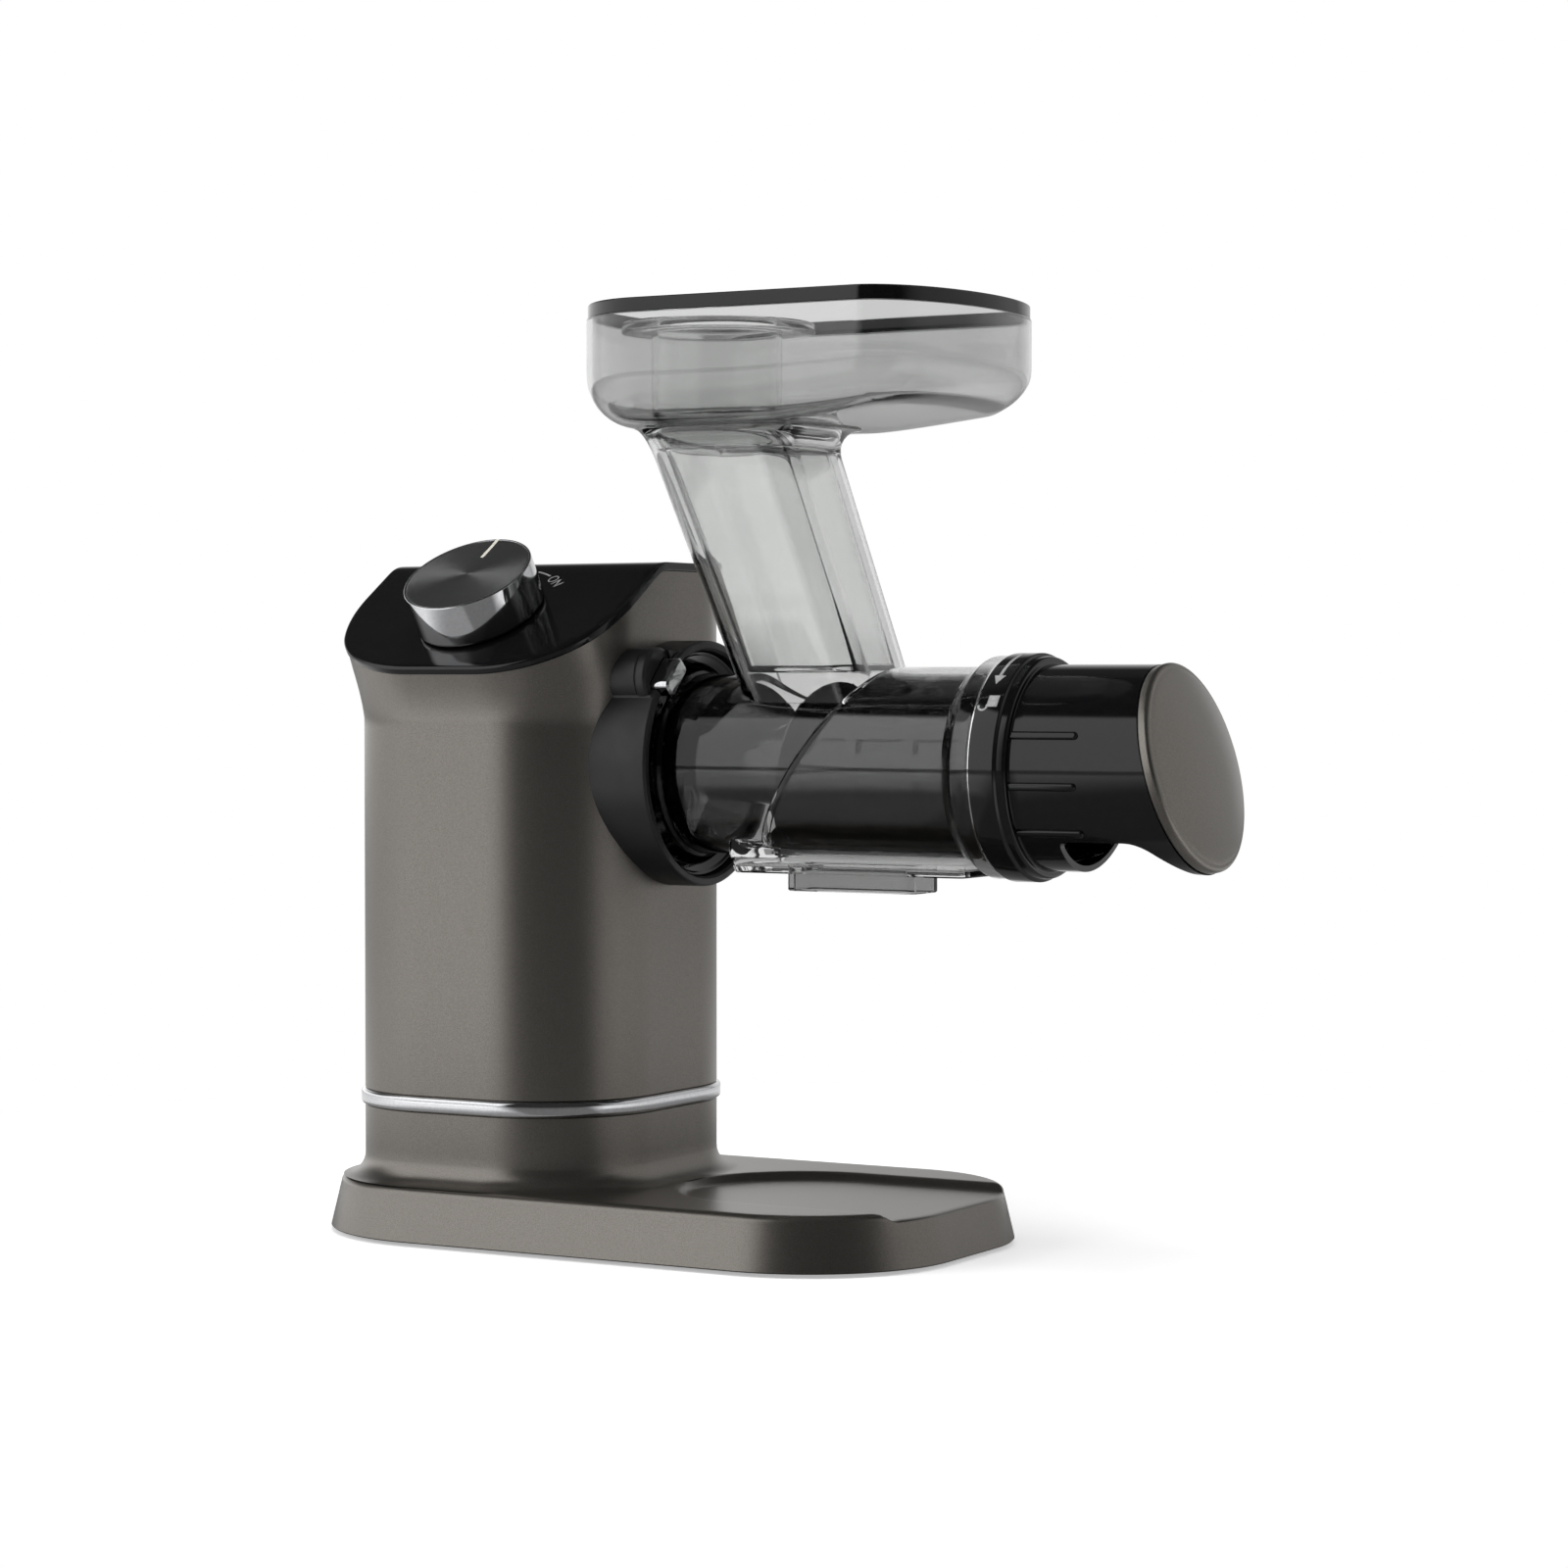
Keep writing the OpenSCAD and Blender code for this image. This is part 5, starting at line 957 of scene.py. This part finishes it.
ribs = [rib(angle) for angle in (19, -9, -37, 161, 189, 217)]
make("cap_ribs", join(*ribs), "gloss", "cap", "gloss_black", sharp=50)

# The end plate, in its own tilted frame: a flat rim and a low crown
PLATE_AT = Matrix.Translation(point(PLATE_X, 0, AXIS)) @ Matrix.Rotation(radians(90 - PLATE_LEAN), 4, "Y")
CROWN_FOOT, CROWN_H, CROWN_EDGE = 5, 6, 39.5
crown_r = (CROWN_EDGE ** 2 + CROWN_H ** 2) / (2 * CROWN_H)
end_path = fillet([(0.02, 0.0, 0), (39.6, 0.0, 0.6), (41.0, 0.9, 0.8), (41.0, 4.2, 1.6), (39.3, 5.15, 1.6)])
end_path += [(r, CROWN_FOOT + CROWN_H - crown_r + sqrt(crown_r ** 2 - r * r))
             for r in (38.2, 36.5, 34, 30, 26, 22, 18, 14, 10, 6, 3, 1, 0.02)]
make("end_plate", turned(end_path, 160), "paint", "cap", "body_paint", "end_dome", sharp=45, at=PLATE_AT)

# The lock marks printed on the cap's ring
RING_R, PRINT_T = 44.5, 0.05


def on_ring(x, w, up=0.0):
    """A point on the locking ring, w millimetres up and round from the side that faces -Y."""
    a, r = w / RING_R, RING_R + up
    return point(x, -r * cos(a), AXIS + r * sin(a))


def ribbon(points, widths, put, looped=False):
    """A print along points, as wide as widths says at each, laid on a surface by put(u, v, up)."""
    rings = []
    n = len(points)
    for i, (u, v) in enumerate(points):
        a, b = (points[k % n if looped else max(0, min(n - 1, k))] for k in (i - 1, i + 1))
        t = Vector((b[0] - a[0], b[1] - a[1])).normalized() * widths[i] / 2
        rings.append([put(u - t.y, v + t.x, -PRINT_T), put(u - t.y, v + t.x, PRINT_T),
                      put(u + t.y, v - t.x, PRINT_T), put(u + t.y, v - t.x, -PRINT_T)])
    return loft(rings, loop=looped, capped=not looped)


def line(a, b, w0, w1, put, n=12):
    """A straight print from a to b, w0 wide at a and w1 at b."""
    points = [(a[0] + (b[0] - a[0]) * k / n, a[1] + (b[1] - a[1]) * k / n) for k in range(n + 1)]
    return ribbon(points, [w0 + (w1 - w0) * k / n for k in range(n + 1)], put)


# The arrow's shaft and head, then the padlock's body and its open hasp
hasp = arc(224.0, 25.4, 1.7, range(30, -201, -15))
ring_prints = [line((226.2, 64), (226.2, 41.4), 1.3, 1.3, on_ring, 24),
               line((226.2, 41.5), (226.2, 36.4), 4.8, 0.1, on_ring),
               line((227.8, 30.4), (227.8, 25.2), 4.4, 4.4, on_ring),
               ribbon(hasp, [0.85] * len(hasp), on_ring)]
make("ring_print", join(*ring_prints), "print", "cap", "pale_nylon", sharp=None)

# The word ON and the arc before it, printed on the panel in the knob's frame
STROKE = 0.6
WORD_ALONG, WORD_UP = (0.74, -0.67), (0.67, 0.74)


def on_panel(u, v, up=0.0):
    return KNOB_AT @ (Vector((u, v, up)) / 1000)


def letter(cx, cy, along, up):
    """A point of a letter centred on (cx, cy): along the word and up from its middle."""
    return cx + WORD_ALONG[0] * along + WORD_UP[0] * up, cy + WORD_ALONG[1] * along + WORD_UP[1] * up


letter_o = [letter(20.3, 26.6, 1.75 * cos(a), 2.25 * sin(a)) for a in full_turn(32)]
panel_prints = [ribbon(letter_o, [STROKE] * len(letter_o), on_panel, looped=True)]
for a, b in (((-1.6, -2.4), (-1.6, 2.4)), ((1.6, -2.4), (1.6, 2.4)), ((-1.6, 2.3), (1.6, -2.3))):
    panel_prints.append(line(letter(23.9, 23.3, *a), letter(23.9, 23.3, *b), STROKE, STROKE, on_panel, 2))
knob_arc = arc(0, 0, 33.8, range(73, 58, -1))
panel_prints.append(ribbon(knob_arc, [0.9] * len(knob_arc), on_panel))
make("panel_print", join(*panel_prints), "print", "housing", "pale_nylon", sharp=None)

# The floor: pure white to the camera far out; in reflections its colour carries painted shade, darker near
# the part and before the camera
FLOOR_WHITE = 0.93
floor_material, tree, floor_surface = new_material("floor", Roughness=0.6, Specular_IOR_Level=0.1)
rays = add_node(tree, "LightPath").outputs
place = add_node(tree, "TexCoord").outputs["Object"]
distance = vector_maths(tree, "LENGTH", place)["Value"]
# Painted shade: for glossy rays only, the floor's colour darkens near the part and on the camera's side
near = map_range(tree, distance, (0.32, 0.58), (-0.62, 0.07))
before = towards(tree, vector_maths(tree, "NORMALIZE", place)["Vector"], -60, (0.58, 0.86), (0.07, -0.75))
floor_tone_with_painted_shade = maths(tree, "MULTIPLY_ADD", rays["Is Glossy Ray"], maths(tree, "MINIMUM", near, before), FLOOR_WHITE)
tree.links.new(floor_tone_with_painted_shade, floor_surface.inputs["Base Color"])
far = maths(tree, "MULTIPLY", map_range(tree, distance, (0.34, 0.62), (0.0, 1.0)), rays["Is Camera Ray"])
glow = add_node(tree, "Emission", {"Strength": 1.0}).outputs[0]
lift = add_node(tree, "Emission", {"Strength": 0.42}).outputs[0]
plain = floor_surface.outputs[0]
lifted = add_node(tree, "AddShader", {0: plain, 1: lift}).outputs[0]
shown = add_node(tree, "MixShader", {0: rays["Is Camera Ray"], 1: plain, 2: lifted}).outputs[0]
mixed = add_node(tree, "MixShader", {0: far, 1: shown, 2: glow}).outputs[0]
tree.links.new(mixed, tree.nodes["Material Output"].inputs["Surface"])


def stage_plane(name, size, material):
    mesh = bpy.data.meshes.new(name)
    with editing(mesh) as bm:
        bmesh.ops.create_grid(bm, x_segments=1, y_segments=1, size=size)
    o = bpy.data.objects.new(name, mesh)
    bpy.context.collection.objects.link(o)
    mesh.materials.append(material)


stage_plane("floor", 6.0, floor_material)

# The studio round the part: one for reflections and one for what is seen through the clear pieces
# The backdrop's azimuth is the way the camera looks
BACK = 119.5
world = bpy.data.worlds.new("studio")
bpy.context.scene.world = world
world.use_nodes = True
sky = world.node_tree
sky.nodes["Background"].inputs["Color"].default_value = (1, 1, 1, 1)
direction = add_node(sky, "TexCoord").outputs["Generated"]
sideways = vector_maths(sky, "MULTIPLY", direction, (1, 1, 0))["Vector"]
sideways = vector_maths(sky, "NORMALIZE", sideways)["Vector"]
height = add_node(sky, "SeparateXYZ", {0: direction}).outputs["Z"]


def panel_light(azimuth, ends, to, heights, fade):
    """A light round an azimuth whose brightness changes with height."""
    brightness = towards(sky, sideways, azimuth, ends, to)
    return maths(sky, "MULTIPLY", brightness, map_range(sky, height, heights, fade))


def brightest(*values):
    return reduce(lambda a, b: maths(sky, "MAXIMUM", a, b), values)


def choose(flag, yes, no):
    """yes where the flag is 1, no where it is 0."""
    otherwise = maths(sky, "MULTIPLY", maths(sky, "SUBTRACT", 1.0, flag), no)
    return maths(sky, "ADD", maths(sky, "MULTIPLY", flag, yes), otherwise)


# A large soft box on the left, a weaker one on the right, and the backdrop, which ends low
left_box = panel_light(-172, (0.22, 0.43), (0.0, 1.0), (0.76, 0.80), (1.2, 0.03))
low_back = maths(sky, "SUBTRACT", 1.0, panel_light(BACK, (0.1, 0.55), (0.0, 0.95), (0.12, 0.42), (0.0, 1.0)))
back_glow = panel_light(BACK, (0.60, 0.95), (0.0, 0.75), (0.20, 0.62), (1.0, 0.0))
right_box = panel_light(42, (0.55, 0.92), (0.0, 0.5), (0.55, 0.75), (1.0, 0.05))
studio = brightest(maths(sky, "MULTIPLY", left_box, low_back), right_box, back_glow, 0.03)
backdrop = brightest(towards(sky, sideways, BACK, (0.15, 0.62), (0.0, 1.0)), 0.09)
backdrop = maths(sky, "MULTIPLY", backdrop, map_range(sky, height, (0.55, 0.85), (1.0, 0.25)))
through = brightest(backdrop, panel_light(-140, (0.60, 0.76), (0.0, 1.8), (0.76, 0.80), (1.0, 0.03)))
rays = add_node(sky, "LightPath").outputs
lit = choose(rays["Is Glossy Ray"], studio, 0.30)
strength = choose(rays["Is Camera Ray"], 1.0, choose(rays["Is Transmission Ray"], through, lit))
sky.links.new(strength, sky.nodes["Background"].inputs["Strength"])


def area(name, place, size, power):
    """A square lamp aimed at the part's middle, for diffuse light only."""
    lamp = bpy.data.lights.new(name, "AREA")
    lamp.energy = power
    lamp.size = size
    o = bpy.data.objects.new(name, lamp)
    bpy.context.collection.objects.link(o)
    o.location = place
    o.rotation_euler = (Vector((0, 0, 0.2)) - Vector(place)).to_track_quat("-Z", "Y").to_euler()
    o.visible_glossy = o.visible_transmission = False


area("left", (-1.2, -1.4, 0.8), 1.0, 15)
area("right", (1.5, -0.1, 0.7), 0.9, 5)
area("top", (0.0, -0.2, 1.7), 1.2, 15)

# The camera, in the photograph's own pixels: its width, its focal length and the row of its horizon
PHOTO_WIDTH, FOCAL, HORIZON, SENSOR = 1600, 3912.0, 692.0, 36.0
CAMERA_TURN = radians(29.5)
camera_data = bpy.data.cameras.new("camera")
camera = bpy.data.objects.new("camera", camera_data)
bpy.context.collection.objects.link(camera)
camera_data.sensor_width = SENSOR
camera_data.lens = FOCAL / PHOTO_WIDTH * SENSOR
camera_data.clip_start, camera_data.clip_end = 0.05, 30
camera.location = point(875.84, -1342.80, 228.2)
camera.rotation_euler = (radians(90) - atan((PHOTO_WIDTH / 2 - HORIZON) / FOCAL), 0, CAMERA_TURN)
bpy.context.scene.camera = camera
bpy.context.scene.view_settings.view_transform = "Standard"
